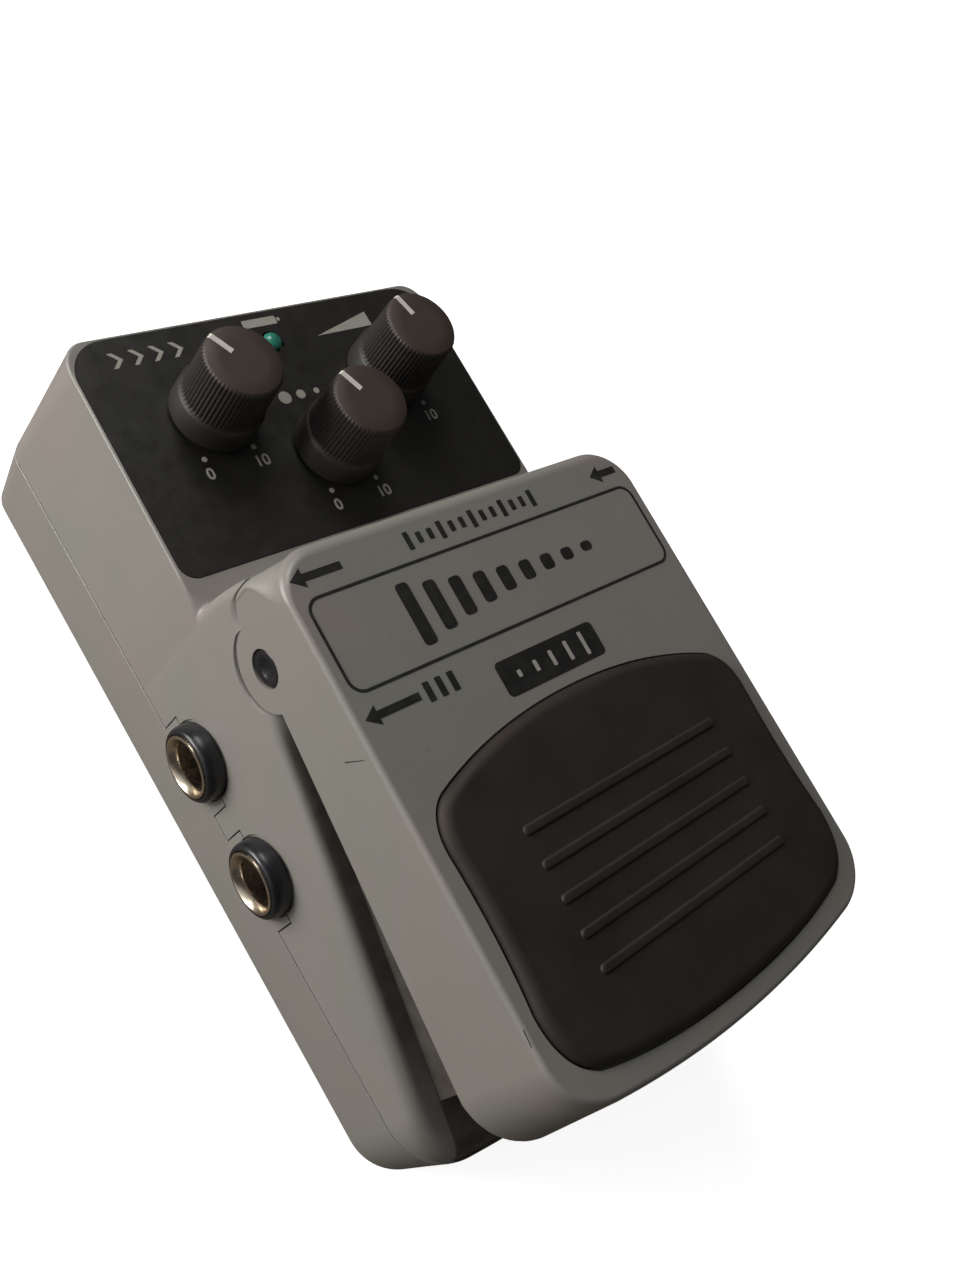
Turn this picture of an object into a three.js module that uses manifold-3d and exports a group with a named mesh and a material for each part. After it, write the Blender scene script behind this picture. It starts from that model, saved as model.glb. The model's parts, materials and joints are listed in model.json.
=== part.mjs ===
// A compact foot pedal for guitar: a moulded case, a hinged treadle over its front half and a
// black control deck at the back. Sizes are in millimetres, with X to the right, Y to the back and
// Z up. The origin is on the floor, under the middle of the case.

import * as THREE from 'three';
import { mergeVertices } from 'three/addons/utils/BufferGeometryUtils.js';
import Module from 'manifold-3d';

const wasm = await Module();
wasm.setup();

// General clearances
const weld = 0.0001;
const overrun = 4;
const seat_gap = 0.3;
const slip_gap = 0.3;

// Case outline, seen from above, at its widest line
const case_half_width = 35;
const case_back = 61.6;
const case_front = 61.3;
const case_bulge = 3.5;
const case_rear_corner = 4.5;
const case_front_corner = 9.5;
const case_wall = 2.2;
const case_lean_share = 0.116;
const case_rear_lean_share = 0.03;
const case_under_lean_share = 0.01;

// Case heights
const foot_stand = 1.5;
const case_floor = 2.2;
const case_bottom_bevel = 0.6;
const parting_height = 14.3;
const deck_front_y = 23.4;
const deck_front_height = 35.02;
const deck_slope_share = 0.0455;
const deck_roof = 2.4;
const deck_edge_radius = 0.7;
const ledge_slope_share = 0.34;
const ledge_edge_radius = 2.5;

// Hinge line of the treadle, with the ledge in front of it and the ridge behind it
const hinge_y = 6.7;
const hinge_height = 41.3;
const ledge_y = 1.7;
const ledge_drop = 4;
const ridge_stand = 4;
const ridge_depth = 2.2;
const ridge_edge = 0.3;
const ridge_round_shares = [[0.09, 0.34], [0.37, 0.6], [0.74, 0.84]];
const ear_radius = 6;
const ear_notch_gap = 0.5;

// Treadle
const treadle_half_width = 32.2;
const treadle_back = 16.4;
const treadle_front = 62.2;
const treadle_bulge = 3.6;
const treadle_rear_corner = 7;
const treadle_ear_corner = 1;
const treadle_inner_corner = 0.2;
const treadle_front_corner = 10;
const treadle_wall = 2.2;
const treadle_lean_share = 0.025;
const treadle_front_lean_share = 0.09;
const treadle_top_y = 16;
const treadle_rise = 12.2;
const treadle_slope_share = 0.0569;
const treadle_edge_radius = 0.8;
const treadle_rear_radius = 1.9;
const skirt_y = 1;
const skirt_drop = 1.8;
const skirt_slope_share = 0.177;
const skirt_front_y = 51;
const skirt_front_run = 5;
const skirt_front_height = 32.6;
const tail_radius = 4.5;
const tail_gap = 0.6;
const treadle_base_height = 26;
const hinge_swing_deg = 6;

// Rubber pad on the treadle
const pad_back = 13.8;
const pad_front = 57.3;
const pad_back_half = 28.8;
const pad_front_half = 29.3;
const pad_shoulder = 4.6;
const pad_shoulder_corner = 6.5;
const pad_chin = 3;
const pad_corner = 4.5;
const pad_stand = 1.2;
const pad_bevel = 1.2;
const pad_bevel_width = 1.6;
const pad_seat_depth = 0.9;
const pad_bevel_shares = [0, 0.35, 0.7, 1];
const pad_rib_count = 5;
const pad_rib_height = 0.45;
const pad_rib_width = 1.5;
const pad_rib_reach = 19;
const pad_rib_back = 27;
const pad_rib_pitch = 4.6;

// Block under the treadle, with the battery well and the switch well
const block_half_width = 28.9;
const block_front = 50.5;
const block_stand = 1.3;
const block_slope = 4.1;
const block_wall = 2;
const battery_length = 46.4;
const battery_depth = 26.5;
const battery_height = 17.5;
const battery_edge = 2;
const battery_floor_height = 16.3;
const terminal_radius = 2.9;
const terminal_stand = 2.1;
const terminal_spacing = 12.7;
const snap_length = 5.2;
const snap_height = 13;
const battery_well_back = 21.2;
const switch_well_front = 19.2;
const switch_well_back = 1.6;
const switch_well_floor = 27.5;
const well_floor_wall = 1.6;

// Treadle spring, foot switch and the post that presses it
const spring_x = -9;
const press_y = -12.6;
const spring_radius = 4.6;
const spring_wire = 0.6;
const spring_turns = 6.5;
const spring_spigot_radius = 3.4;
const spring_spigot_height = 2.6;
const switch_x = 10;
const switch_body_side = 12;
const switch_body_height = 5.2;
const switch_bore = 3.1;
const switch_floor = 1.6;
const plunger_radius = 2.8;
const plunger_height = 4.1;
const plunger_stand = 3;
const plunger_lift = 0.3;
const press_post_radius = 2.6;

// Hinge pins and their springs
const lug_radius = 4.6;
const lug_outer_x = 28.9;
const lug_inner_x = 12.6;
const pin_bore = 3.05;
const pin_bore_end_x = 14.6;
const pin_tip_radius = 2.05;
const pin_tip_x = 31.85;
const pin_body_radius = 2.75;
const pin_body_inner_x = 22.5;
const pin_dimple_radius = 1.3;
const pin_dimple_depth = 0.7;
const pin_spring_radius = 2.1;
const pin_spring_wire = 0.32;
const pin_spring_turns = 4;
const stop_rib_half = 11;
const stop_rib_depth = 1;

// Jack sockets
const jack_height = 18.4;
const jack_rear_y = 4.5;
const jack_front_y = -13.6;
const jack_bore = 3.2;
const sleeve_radius = 4.4;
const sleeve_end_x = 37.7;
const nut_radius = 6.3;
const nut_inner_x = 34.3;
const nut_outer_x = 37.4;
const nut_bevel = 0.7;
const nut_seat_x = 34;
const jack_body_outer_x = 31.1;
const jack_body_inner_x = 10.2;
const jack_body_half = 6;
const jack_bore_end_x = 12.2;
const contact_width = 3;
const contact_leaf = 0.4;
const contact_reach = 2.6;
const contact_x = 16;
const contact_half_length = 3.4;
const tongue_half_width = 7;
const tongue_height = 18.2;

// Power inlet in the back wall
const inlet_half_width = 4.6;
const inlet_length = 13.5;
const inlet_height = 11;
const inlet_collar = 4.3;
const inlet_bore = 2.9;
const inlet_bore_depth = 11;
const inlet_pin_radius = 1;

// Control deck
const panel_half_width = 31;
const panel_back_y = 59.7;
const panel_back_corner = 8;
const panel_front_corner = 2.4;
const panel_thickness = 0.6;
const panel_proud = 0.12;
const knob_side_x = 15.85;
const knob_side_y = 45.7;
const knob_middle_y = 36;
const knob_height = 12.8;
const knob_lift = 0.35;
const knob_skirt_radius = 6.5;
const knob_skirt_height = 4.9;
const knob_neck_radius = 6.1;
const knob_top_radius = 5.75;
const knob_face_radius = 5;
const knob_face_drop = 0.9;
const knob_flutes = 16;
const knob_flute_depth = 0.5;
const knob_bore_depth = 9.6;
const pointer_inner = 1.9;
const pointer_width = 0.9;
const pointer_depth = 0.35;
const shaft_radius = 3;
const shaft_hole = 3.6;
const pot_half_width = 4.9;
const pot_half_length = 5.6;
const pot_height = 6.6;
const pot_bore_depth = 4.6;
const board_thickness = 1.6;
const control_board_half_width = 28.4;
const control_board_front_y = 27;
const control_board_back_y = 56.8;
const led_y = 55.1;
const led_radius = 1.5;
const led_hole = 1.8;
const led_dome = 0.9;
const led_body_depth = 4.6;
const led_flange_radius = 2;
const led_flange = 0.9;
const led_leg = 0.45;
const led_leg_spread = 1.27;

// Boards and fasteners inside
const main_board_half_width = 30;
const main_board_front = 19.2;
const main_board_back_y = 58;
const ribbon_half_width = 6;
const ribbon_thickness = 0.8;
const ribbon_y = 30;
const ribbon_sway = 2.4;
const case_screw_x = 27;
const case_screw_rear_y = 50.5;
const case_screw_front_x = 22;
const case_screw_front_y = -54;
const boss_radius = 3.1;
const boss_foot_height = 10;
const screw_post_radius = 3.6;
const screw_shank = 1.2;
const screw_hole = 1.5;
const screw_head_radius = 2.7;
const screw_head_height = 1.7;
const screw_head_hole = 3.1;
const screw_head_depth = 2.4;
const screw_length = 11;
const board_post_radius = 2.6;
const board_screw_length = 5;
const board_screw_places = [[-26, -4.55], [26, -10], [-22, 34], [22, 34]];
const deck_post_x = 24.6;
const deck_post_y = 31.5;
const deck_post_radius = 2.4;
const foot_x = 24;
const foot_y = 38;
const foot_radius = 6.5;
const foot_seat_depth = 0.8;
const foot_edge = 0.5;

// Facets
const corner_steps = 5;
const front_corner_steps = 7;
const front_steps = 4;
const hole_sides = 18;
const rod_sides = 14;
const screw_sides = 9;
const nut_sides = 22;
const tail_steps = 4;
const coil_steps = 8;
const coil_sides = 5;
const flute_steps = 3;

// Colours from the photograph
const paints = {
  case_grey: { color: 0x8f8c86, roughness: 0.5, metalness: 0 },
  panel_black: { color: 0x1d1b19, roughness: 0.45, metalness: 0 },
  knob_black: { color: 0x201d1b, roughness: 0.55, metalness: 0 },
  pad_rubber: { color: 0x2a2420, roughness: 0.85, metalness: 0 },
  foot_rubber: { color: 0x1a1a1a, roughness: 0.9, metalness: 0 },
  nickel: { color: 0xc9c2b4, roughness: 0.25, metalness: 1 },
  spring_steel: { color: 0x9a9a98, roughness: 0.35, metalness: 1 },
  dark_plastic: { color: 0x26262a, roughness: 0.5, metalness: 0 },
  board_green: { color: 0x2f5b3a, roughness: 0.55, metalness: 0 },
  battery_wrap: { color: 0x3a4048, roughness: 0.4, metalness: 0 },
  lens_green: { color: 0x2f7a66, roughness: 0.2, metalness: 0 },
  ribbon_grey: { color: 0x9ca0a4, roughness: 0.6, metalness: 0 },
};

// Solids and their sums
function solidOf(geometry) {
  const bare = geometry.clone();
  for (const name of Object.keys(bare.attributes)) {
    if (name !== 'position') bare.deleteAttribute(name);
  }
  const merged = mergeVertices(bare, weld);
  const vertProperties = Float32Array.from(merged.attributes.position.array);
  const triVerts = Uint32Array.from(merged.index.array);
  return new wasm.Manifold(new wasm.Mesh({ numProp: 3, vertProperties, triVerts }));
}

function geometryOf(solid) {
  const mesh = solid.getMesh();
  const geometry = new THREE.BufferGeometry();
  geometry.setAttribute('position', new THREE.BufferAttribute(mesh.vertProperties, 3));
  geometry.setIndex(new THREE.BufferAttribute(mesh.triVerts, 1));
  geometry.computeVertexNormals();
  return geometry;
}

function sum(...solids) {
  return solids.reduce((whole, piece) => whole.add(piece));
}

function without(solid, ...cuts) {
  return cuts.reduce((left, cut) => left.subtract(cut), solid);
}

function named(name, paint, solid) {
  const mesh = new THREE.Mesh(geometryOf(solid), new THREE.MeshStandardMaterial(paints[paint]));
  mesh.name = name;
  return mesh;
}

// Simple forms
function block(x0, x1, y0, y1, z0, z1) {
  const box = new THREE.BoxGeometry(x1 - x0, y1 - y0, z1 - z0);
  box.translate((x0 + x1) / 2, (y0 + y1) / 2, (z0 + z1) / 2);
  return solidOf(box);
}

function revolved(profile, sides) {
  const points = profile.map(([radius, height]) => new THREE.Vector2(radius, height));
  return new THREE.LatheGeometry(points, sides).rotateX(Math.PI / 2);
}

function rodZ(radius, x, y, z0, z1, sides = rod_sides) {
  const rod = revolved([[0, z0], [radius, z0], [radius, z1], [0, z1]], sides);
  return solidOf(rod.translate(x, y, 0));
}

function rodX(radius, x0, x1, y, z, sides = rod_sides) {
  const rod = revolved([[0, x0], [radius, x0], [radius, x1], [0, x1]], sides);
  return solidOf(rod.rotateY(Math.PI / 2).translate(0, y, z));
}

function rodY(radius, x, y0, y1, z, sides = rod_sides) {
  const rod = revolved([[0, -y1], [radius, -y1], [radius, -y0], [0, -y0]], sides);
  return solidOf(rod.rotateX(Math.PI / 2).translate(x, 0, z));
}

function shapeOf(points) {
  return new THREE.Shape(points.map(([a, b]) => new THREE.Vector2(a, b)));
}

// A slab whose side view, in Y and Z, is given, running from x0 to x1
function sideSlab(points, x0, x1) {
  const slab = new THREE.ExtrudeGeometry(shapeOf(points), { depth: x1 - x0, bevelEnabled: false });
  const axes = new THREE.Matrix4().makeBasis(
    new THREE.Vector3(0, 1, 0), new THREE.Vector3(0, 0, 1), new THREE.Vector3(1, 0, 0));
  return solidOf(slab.applyMatrix4(axes).translate(x0, 0, 0));
}

// A slab whose plan view is given, running from z0 to z1
function planSlab(shape, z0, z1, curveSegments = corner_steps) {
  const options = { depth: z1 - z0, bevelEnabled: false, curveSegments };
  return solidOf(new THREE.ExtrudeGeometry(shape, options).translate(0, 0, z0));
}

function roundedShape(x0, x1, y0, y1, front, back) {
  const shape = new THREE.Shape();
  shape.moveTo(x0 + front, y0);
  shape.lineTo(x1 - front, y0);
  shape.absarc(x1 - front, y0 + front, front, -Math.PI / 2, 0);
  shape.lineTo(x1, y1 - back);
  shape.absarc(x1 - back, y1 - back, back, 0, Math.PI / 2);
  shape.lineTo(x0 + back, y1);
  shape.absarc(x0 + back, y1 - back, back, Math.PI / 2, Math.PI);
  shape.lineTo(x0, y0 + front);
  shape.absarc(x0 + front, y0 + front, front, Math.PI, Math.PI * 3 / 2);
  return shape;
}

// Lofted shells. An outline runs from the middle of the back, round the right side, to the middle
// of the front, and each point knows its outward direction.
function plan({ half, back, front, bulge, rear, corner, stations }) {
  const points = [{ x: 0, y: back, nx: 0, ny: 1 }];
  for (let k = 0; k <= corner_steps; k++) {
    const a = Math.PI / 2 * (1 - k / corner_steps);
    const nx = Math.cos(a);
    const ny = Math.sin(a);
    points.push({ x: half - rear + rear * nx, y: back - rear + rear * ny, nx, ny });
  }
  const sweep = (half * half + bulge * bulge) / (2 * bulge);
  const sweepY = sweep - front;
  const cornerX = half - corner;
  const cornerY = sweepY - Math.sqrt((sweep - corner) ** 2 - cornerX ** 2);
  for (const y of stations) points.push({ x: half, y, nx: 1, ny: 0 });
  const turn = Math.atan2(cornerY - sweepY, cornerX);
  for (let k = 0; k <= front_corner_steps; k++) {
    const a = turn * k / front_corner_steps;
    const nx = Math.cos(a);
    const ny = Math.sin(a);
    points.push({ x: cornerX + corner * nx, y: cornerY + corner * ny, nx, ny });
  }
  for (let k = 1; k <= front_steps; k++) {
    const a = turn - (Math.PI / 2 + turn) * k / front_steps;
    const nx = k < front_steps ? Math.cos(a) : 0;
    const ny = Math.sin(a);
    points.push({ x: sweep * nx, y: sweepY + sweep * ny, nx, ny });
  }
  return points;
}

function ring(outline, inset, height) {
  const right = outline.map((p) => {
    const d = inset(p);
    const y = p.y - p.ny * d;
    return [p.x - p.nx * d, y, height(p, y)];
  });
  const left = right.slice(1, -1).reverse().map(([x, y, z]) => [-x, y, z]);
  return [...right, ...left];
}

function lofted(rings) {
  const size = rings[0].length;
  const last = size / 2;
  const index = [];
  for (let k = 0; k + 1 < rings.length; k++) {
    for (let j = 0; j < size; j++) {
      const next = (j + 1) % size;
      const low = k * size;
      const high = low + size;
      index.push(low + j, high + next, low + next, low + j, high + j, high + next);
    }
  }
  for (const [first, up] of [[0, false], [(rings.length - 1) * size, true]]) {
    for (let i = 0; i < last; i++) {
      const mirror = (j) => first + (size - j) % size;
      const right = first + i;
      const triangles = i + 1 < last ? [[right, right + 1, mirror(i + 1)]] : [];
      if (i > 0) triangles.push([right, i + 1 < last ? mirror(i + 1) : right + 1, mirror(i)]);
      for (const [a, b, c] of triangles) index.push(...(up ? [a, c, b] : [a, b, c]));
    }
  }
  const geometry = new THREE.BufferGeometry();
  geometry.setAttribute('position', new THREE.Float32BufferAttribute(rings.flat(2), 3));
  geometry.setIndex(index);
  return solidOf(geometry);
}

// Rings that round an upper edge off, from the side wall to the top face
function edgeRings(outline, lean, radius, top, steps) {
  const rings = [];
  for (let k = 0; k <= steps; k++) {
    const a = Math.PI / 2 * k / steps;
    const inset = (p) => lean(p, top(p.y)) + radius(p) * (1 - Math.cos(a));
    rings.push(ring(outline, inset, (p, y) => top(y) - radius(p) * (1 - Math.sin(a))));
  }
  return rings;
}

// A coil of round wire along Z, one unbroken tube whose ends are closed
function coil(radius, wire, turns, z0, z1) {
  const steps = Math.round(turns * coil_steps);
  const points = [];
  for (let k = 0; k <= steps; k++) {
    const a = Math.PI * 2 * turns * k / steps;
    points.push([radius * Math.cos(a), radius * Math.sin(a), z0 + (z1 - z0) * k / steps, a]);
  }
  const position = [];
  for (const [x, y, z, a] of points) {
    for (let j = 0; j < coil_sides; j++) {
      const b = Math.PI * 2 * j / coil_sides;
      const out = wire * Math.cos(b);
      position.push(x + out * Math.cos(a), y + out * Math.sin(a), z + wire * Math.sin(b));
    }
  }
  const index = [];
  for (let k = 0; k < steps; k++) {
    for (let j = 0; j < coil_sides; j++) {
      const a = k * coil_sides + j;
      const b = k * coil_sides + (j + 1) % coil_sides;
      index.push(a, a + coil_sides, b, b, a + coil_sides, b + coil_sides);
    }
  }
  const end = steps * coil_sides;
  for (let j = 1; j + 1 < coil_sides; j++) {
    index.push(0, j, j + 1, end, end + j + 1, end + j);
  }
  const geometry = new THREE.BufferGeometry();
  geometry.setAttribute('position', new THREE.Float32BufferAttribute(position, 3));
  geometry.setIndex(index);
  return geometry;
}

// Heights of the case and of the treadle, from back to front
const ledge_height = hinge_height - ledge_drop;
const ridge_height = hinge_height + ridge_stand;
const treadle_top_height = hinge_height + treadle_rise;
const block_back_height = ledge_height + block_stand;
const deckZ = (y) => deck_front_height + deck_slope_share * (y - deck_front_y);
const ledgeZ = (y) => ledge_height + ledge_slope_share * (y - ledge_y);
const treadleZ = (y) => treadle_top_height + treadle_slope_share * (y - treadle_top_y);

// The treadle's lower rear edge is an arc seen from the side, and the ridge behind it follows that
// arc with a gap, and is rounded off towards the deck
const tail_y = treadle_back - tail_radius;
const ridge_front_y = treadle_back + tail_gap;
const ridge_rear_y = ridge_front_y + ridge_depth;
const ridge_rise = ridge_height - deckZ(ridge_rear_y);

function tailArc(radius, steps) {
  return Array.from({ length: steps + 1 }, (_, k) => {
    const a = Math.PI / 2 * k / steps;
    return [tail_y + radius * Math.cos(a), ridge_height - radius * Math.sin(a)];
  });
}

const ridge_profile = [
  [ridge_rear_y + deck_edge_radius, deckZ(ridge_rear_y + deck_edge_radius)],
  [ridge_rear_y, deckZ(ridge_rear_y)],
  ...ridge_round_shares.map(([back, up]) => [
    ridge_rear_y - ridge_depth * back, deckZ(ridge_rear_y) + ridge_rise * up]),
  [ridge_front_y + ridge_edge, ridge_height],
  ...tailArc(tail_radius + tail_gap, tail_steps),
  [ledge_y, ledge_height],
];

function caseTop(y) {
  if (y >= ridge_rear_y) return deckZ(y);
  if (y <= ledge_y) return ledgeZ(y);
  const k = ridge_profile.findIndex(([station]) => station <= y);
  const [y1, z1] = ridge_profile[k];
  const [y0, z0] = ridge_profile[k - 1];
  return z0 + (z1 - z0) * (y - y0) / (y1 - y0);
}

// The rear wall stands nearly upright, the other walls lean inward
function caseLean(p, z) {
  const rear = Math.max(0, p.ny) ** 2;
  const share = case_lean_share + (case_rear_lean_share - case_lean_share) * rear;
  return share * Math.max(0, z - parting_height);
}

function caseEdge(p) {
  return p.y > ridge_rear_y ? deck_edge_radius : ledge_edge_radius;
}

function casePlan(inset, stations = []) {
  return plan({
    half: case_half_width - inset, back: case_back - inset, front: case_front - inset,
    bulge: case_bulge, rear: case_rear_corner - inset, corner: case_front_corner - inset,
    stations,
  });
}

// The outer form of the case from the parting line to its top, with its rounded rim
function caseUpperForm() {
  const outline = casePlan(0, [deck_front_y, ...ridge_profile.map(([y]) => y)]);
  return lofted([
    ring(outline, () => 0, () => parting_height),
    ...edgeRings(outline, caseLean, caseEdge, caseTop, 3),
  ]);
}

// The hollow of the case: under the deck at the back, lower under the switch well in front
function caseHollow() {
  const outline = casePlan(case_wall);
  const lean = (p) => caseLean(p, deck_front_height);
  const body = lofted([
    ring(outline, () => 0, () => foot_stand + case_floor),
    ring(outline, () => 0, () => parting_height),
    ring(outline, lean, () => deck_front_height + overrun),
  ]);
  const wide = case_half_width + overrun;
  const back = case_back + overrun;
  const room = sideSlab([
    [-battery_well_back + well_floor_wall, 0],
    [back, 0],
    [back, deckZ(back) - deck_roof],
    [ridge_rear_y, deckZ(ridge_rear_y) - deck_roof],
    [-switch_well_back, deckZ(ridge_rear_y) - deck_roof],
    [-switch_well_back, switch_well_floor - well_floor_wall],
    [-battery_well_back + well_floor_wall, switch_well_floor - well_floor_wall],
  ], -wide, wide);
  return body.intersect(room);
}

function blockForm() {
  return sideSlab([
    [-block_front, parting_height],
    [ledge_y, parting_height],
    [ledge_y, block_back_height],
    [-block_front, block_back_height - block_slope],
  ], -block_half_width, block_half_width);
}

function lugs() {
  const back = hinge_y + lug_radius;
  const front = hinge_y - lug_radius;
  return [-1, 1].flatMap((side) => {
    const [x0, x1] = side > 0 ? [lug_inner_x, lug_outer_x] : [-lug_outer_x, -lug_inner_x];
    const web = block(x0, x1, front, back, deckZ(ridge_rear_y) - deck_roof, hinge_height);
    return [rodX(lug_radius, x0, x1, hinge_y, hinge_height, hole_sides), web];
  });
}

function pinBores() {
  const end = lug_outer_x + overrun;
  return [
    rodX(pin_bore, pin_bore_end_x, end, hinge_y, hinge_height),
    rodX(pin_bore, -end, -pin_bore_end_x, hinge_y, hinge_height),
  ];
}

// Round notches in the case's side walls, in which the treadle's ears turn
function earNotches() {
  const radius = ear_radius + ear_notch_gap;
  const inner = lug_outer_x + slip_gap / 3;
  const outer = case_half_width + overrun;
  return [
    rodX(radius, inner, outer, hinge_y, hinge_height, 2 * hole_sides),
    rodX(radius, -outer, -inner, hinge_y, hinge_height, 2 * hole_sides),
  ];
}

const jacks = [
  { name: 'output', side: -1, y: jack_rear_y },
  { name: 'direct', side: -1, y: jack_front_y },
  { name: 'input', side: 1, y: jack_rear_y },
];

function spanX(side, a, b) {
  return side > 0 ? [a, b] : [-b, -a];
}

// Each jack sits in a slot of the upper case, which a tongue of the lower case closes from below
function jackSlots() {
  const half = tongue_half_width + slip_gap;
  return jacks.flatMap(({ side, y }) => {
    const [x0, x1] = spanX(side, jack_body_outer_x - slip_gap, case_half_width + overrun);
    const [n0, n1] = spanX(side, nut_seat_x, case_half_width + overrun);
    return [
      block(x0, x1, y - half, y + half, foot_stand, tongue_height + slip_gap),
      rodX(sleeve_radius + slip_gap, x0, x1, y, jack_height, hole_sides),
      rodX(nut_radius + slip_gap, n0, n1, y, jack_height, nut_sides),
    ];
  });
}

const case_screws = [
  [case_screw_x, case_screw_rear_y], [-case_screw_x, case_screw_rear_y],
  [case_screw_front_x, case_screw_front_y], [-case_screw_front_x, case_screw_front_y],
];

// The deck's own frame: origin at the deck's front edge line, tilted with the deck
const deck_tilt = Math.atan(deck_slope_share);
const alongDeck = (y) => (y - deck_front_y) / Math.cos(deck_tilt);
const knobs = [
  { name: 'left', x: -knob_side_x, y: knob_side_y, turn: 33 },
  { name: 'middle', x: 0, y: knob_middle_y, turn: 26 },
  { name: 'right', x: knob_side_x, y: knob_side_y, turn: 18 },
];

function onDeck(solid) {
  const tilt = new THREE.Matrix4().makeRotationX(deck_tilt);
  tilt.setPosition(0, deck_front_y, deck_front_height);
  return solidOf(geometryOf(solid).applyMatrix4(tilt));
}

function panelShape(grow) {
  return roundedShape(-panel_half_width - grow, panel_half_width + grow, -grow,
    alongDeck(panel_back_y) + grow, panel_front_corner + grow, panel_back_corner + grow);
}

function deckCuts() {
  const recess = planSlab(panelShape(slip_gap), panel_proud - panel_thickness - seat_gap, overrun);
  const holes = knobs.map(({ x, y }) => rodZ(shaft_hole, x, alongDeck(y), -2 * deck_roof, overrun));
  const window_hole = rodZ(led_hole, 0, alongDeck(led_y), -2 * deck_roof, overrun);
  return [recess, ...holes, window_hole].map(onDeck);
}

const control_board_top = -(deck_roof + seat_gap + pot_height + seat_gap);
const deck_posts = [-deck_post_x, deck_post_x];

// Posts under the deck that carry the control board, and the bosses that the case screws enter
function hangingPosts() {
  const posts = deck_posts.map((x) => {
    const depth = control_board_top + seat_gap;
    const y = alongDeck(deck_post_y);
    const post = rodZ(deck_post_radius, x, y, depth, -deck_roof / 2, screw_sides);
    return onDeck(post.subtract(rodZ(
      screw_hole, x, y, depth - overrun, depth + board_screw_length, screw_sides)));
  });
  const bosses = case_screws.map(([x, y]) => {
    const top = (y > 0 ? deckZ(y) : ledgeZ(y)) - deck_roof / 2;
    const boss = rodZ(boss_radius, x, y, boss_foot_height, top);
    return boss.subtract(rodZ(
      screw_hole, x, y, boss_foot_height - overrun, top - deck_roof, screw_sides));
  });
  return [...posts, ...bosses];
}

const inlet_lean = caseLean({ ny: 1 }, jack_height + inlet_height);
const inlet_face_y = case_back - case_wall - inlet_lean - seat_gap;
const inlet_front_y = inlet_face_y - inlet_length;

function inletHole() {
  return rodY(inlet_collar + slip_gap, 0, inlet_face_y - overrun, case_back + overrun, jack_height,
    hole_sides);
}

function upperCase() {
  const wells = [
    block(-block_half_width + block_wall, block_half_width - block_wall,
      block_wall - block_front, -battery_well_back, battery_floor_height, ledge_height + overrun),
    block(-block_half_width + block_wall, block_half_width - block_wall,
      -switch_well_front, -switch_well_back, switch_well_floor, ledge_height + overrun),
  ];
  const shell = without(sum(caseUpperForm(), blockForm()), caseHollow(), frontRoom(), ...wells);
  const stopFront = treadle_back - treadle_wall + slip_gap;
  const tailDrop = Math.sqrt(tail_radius ** 2 - (stopFront - tail_y) ** 2);
  const stop = block(-stop_rib_half, stop_rib_half, stopFront, stopFront + stop_rib_depth,
    deckZ(ridge_rear_y) - deck_roof / 2, ridge_height - tailDrop - seat_gap);
  const spigot = rodZ(spring_spigot_radius, spring_x, press_y,
    switch_well_floor - well_floor_wall / 2, switch_well_floor + spring_spigot_height);
  const furnished = sum(shell, ...lugs(), stop, spigot, ...hangingPosts());
  return without(furnished, ...earNotches(), ...pinBores(), ...jackSlots(), inletHole(),
    ...deckCuts());
}

// The space in front of and beside the battery well, under the ledge
function frontRoom() {
  const outline = casePlan(case_wall);
  const lean = (p) => caseLean(p, ledgeZ(-battery_well_back));
  const body = lofted([
    ring(outline, () => 0, () => foot_stand + case_floor),
    ring(outline, () => 0, () => parting_height),
    ring(outline, lean, () => ledge_height),
  ]);
  const wide = case_half_width + overrun;
  const front = -case_front - overrun;
  const back = -battery_well_back + well_floor_wall;
  const roof = sideSlab([
    [front, 0], [back, 0], [back, ledgeZ(back) - deck_roof], [front, ledgeZ(front) - deck_roof],
  ], -wide, wide);
  const core = block(-block_half_width, block_half_width, -block_front, back + overrun,
    battery_floor_height - well_floor_wall, block_back_height);
  return body.intersect(roof).subtract(core);
}

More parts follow.
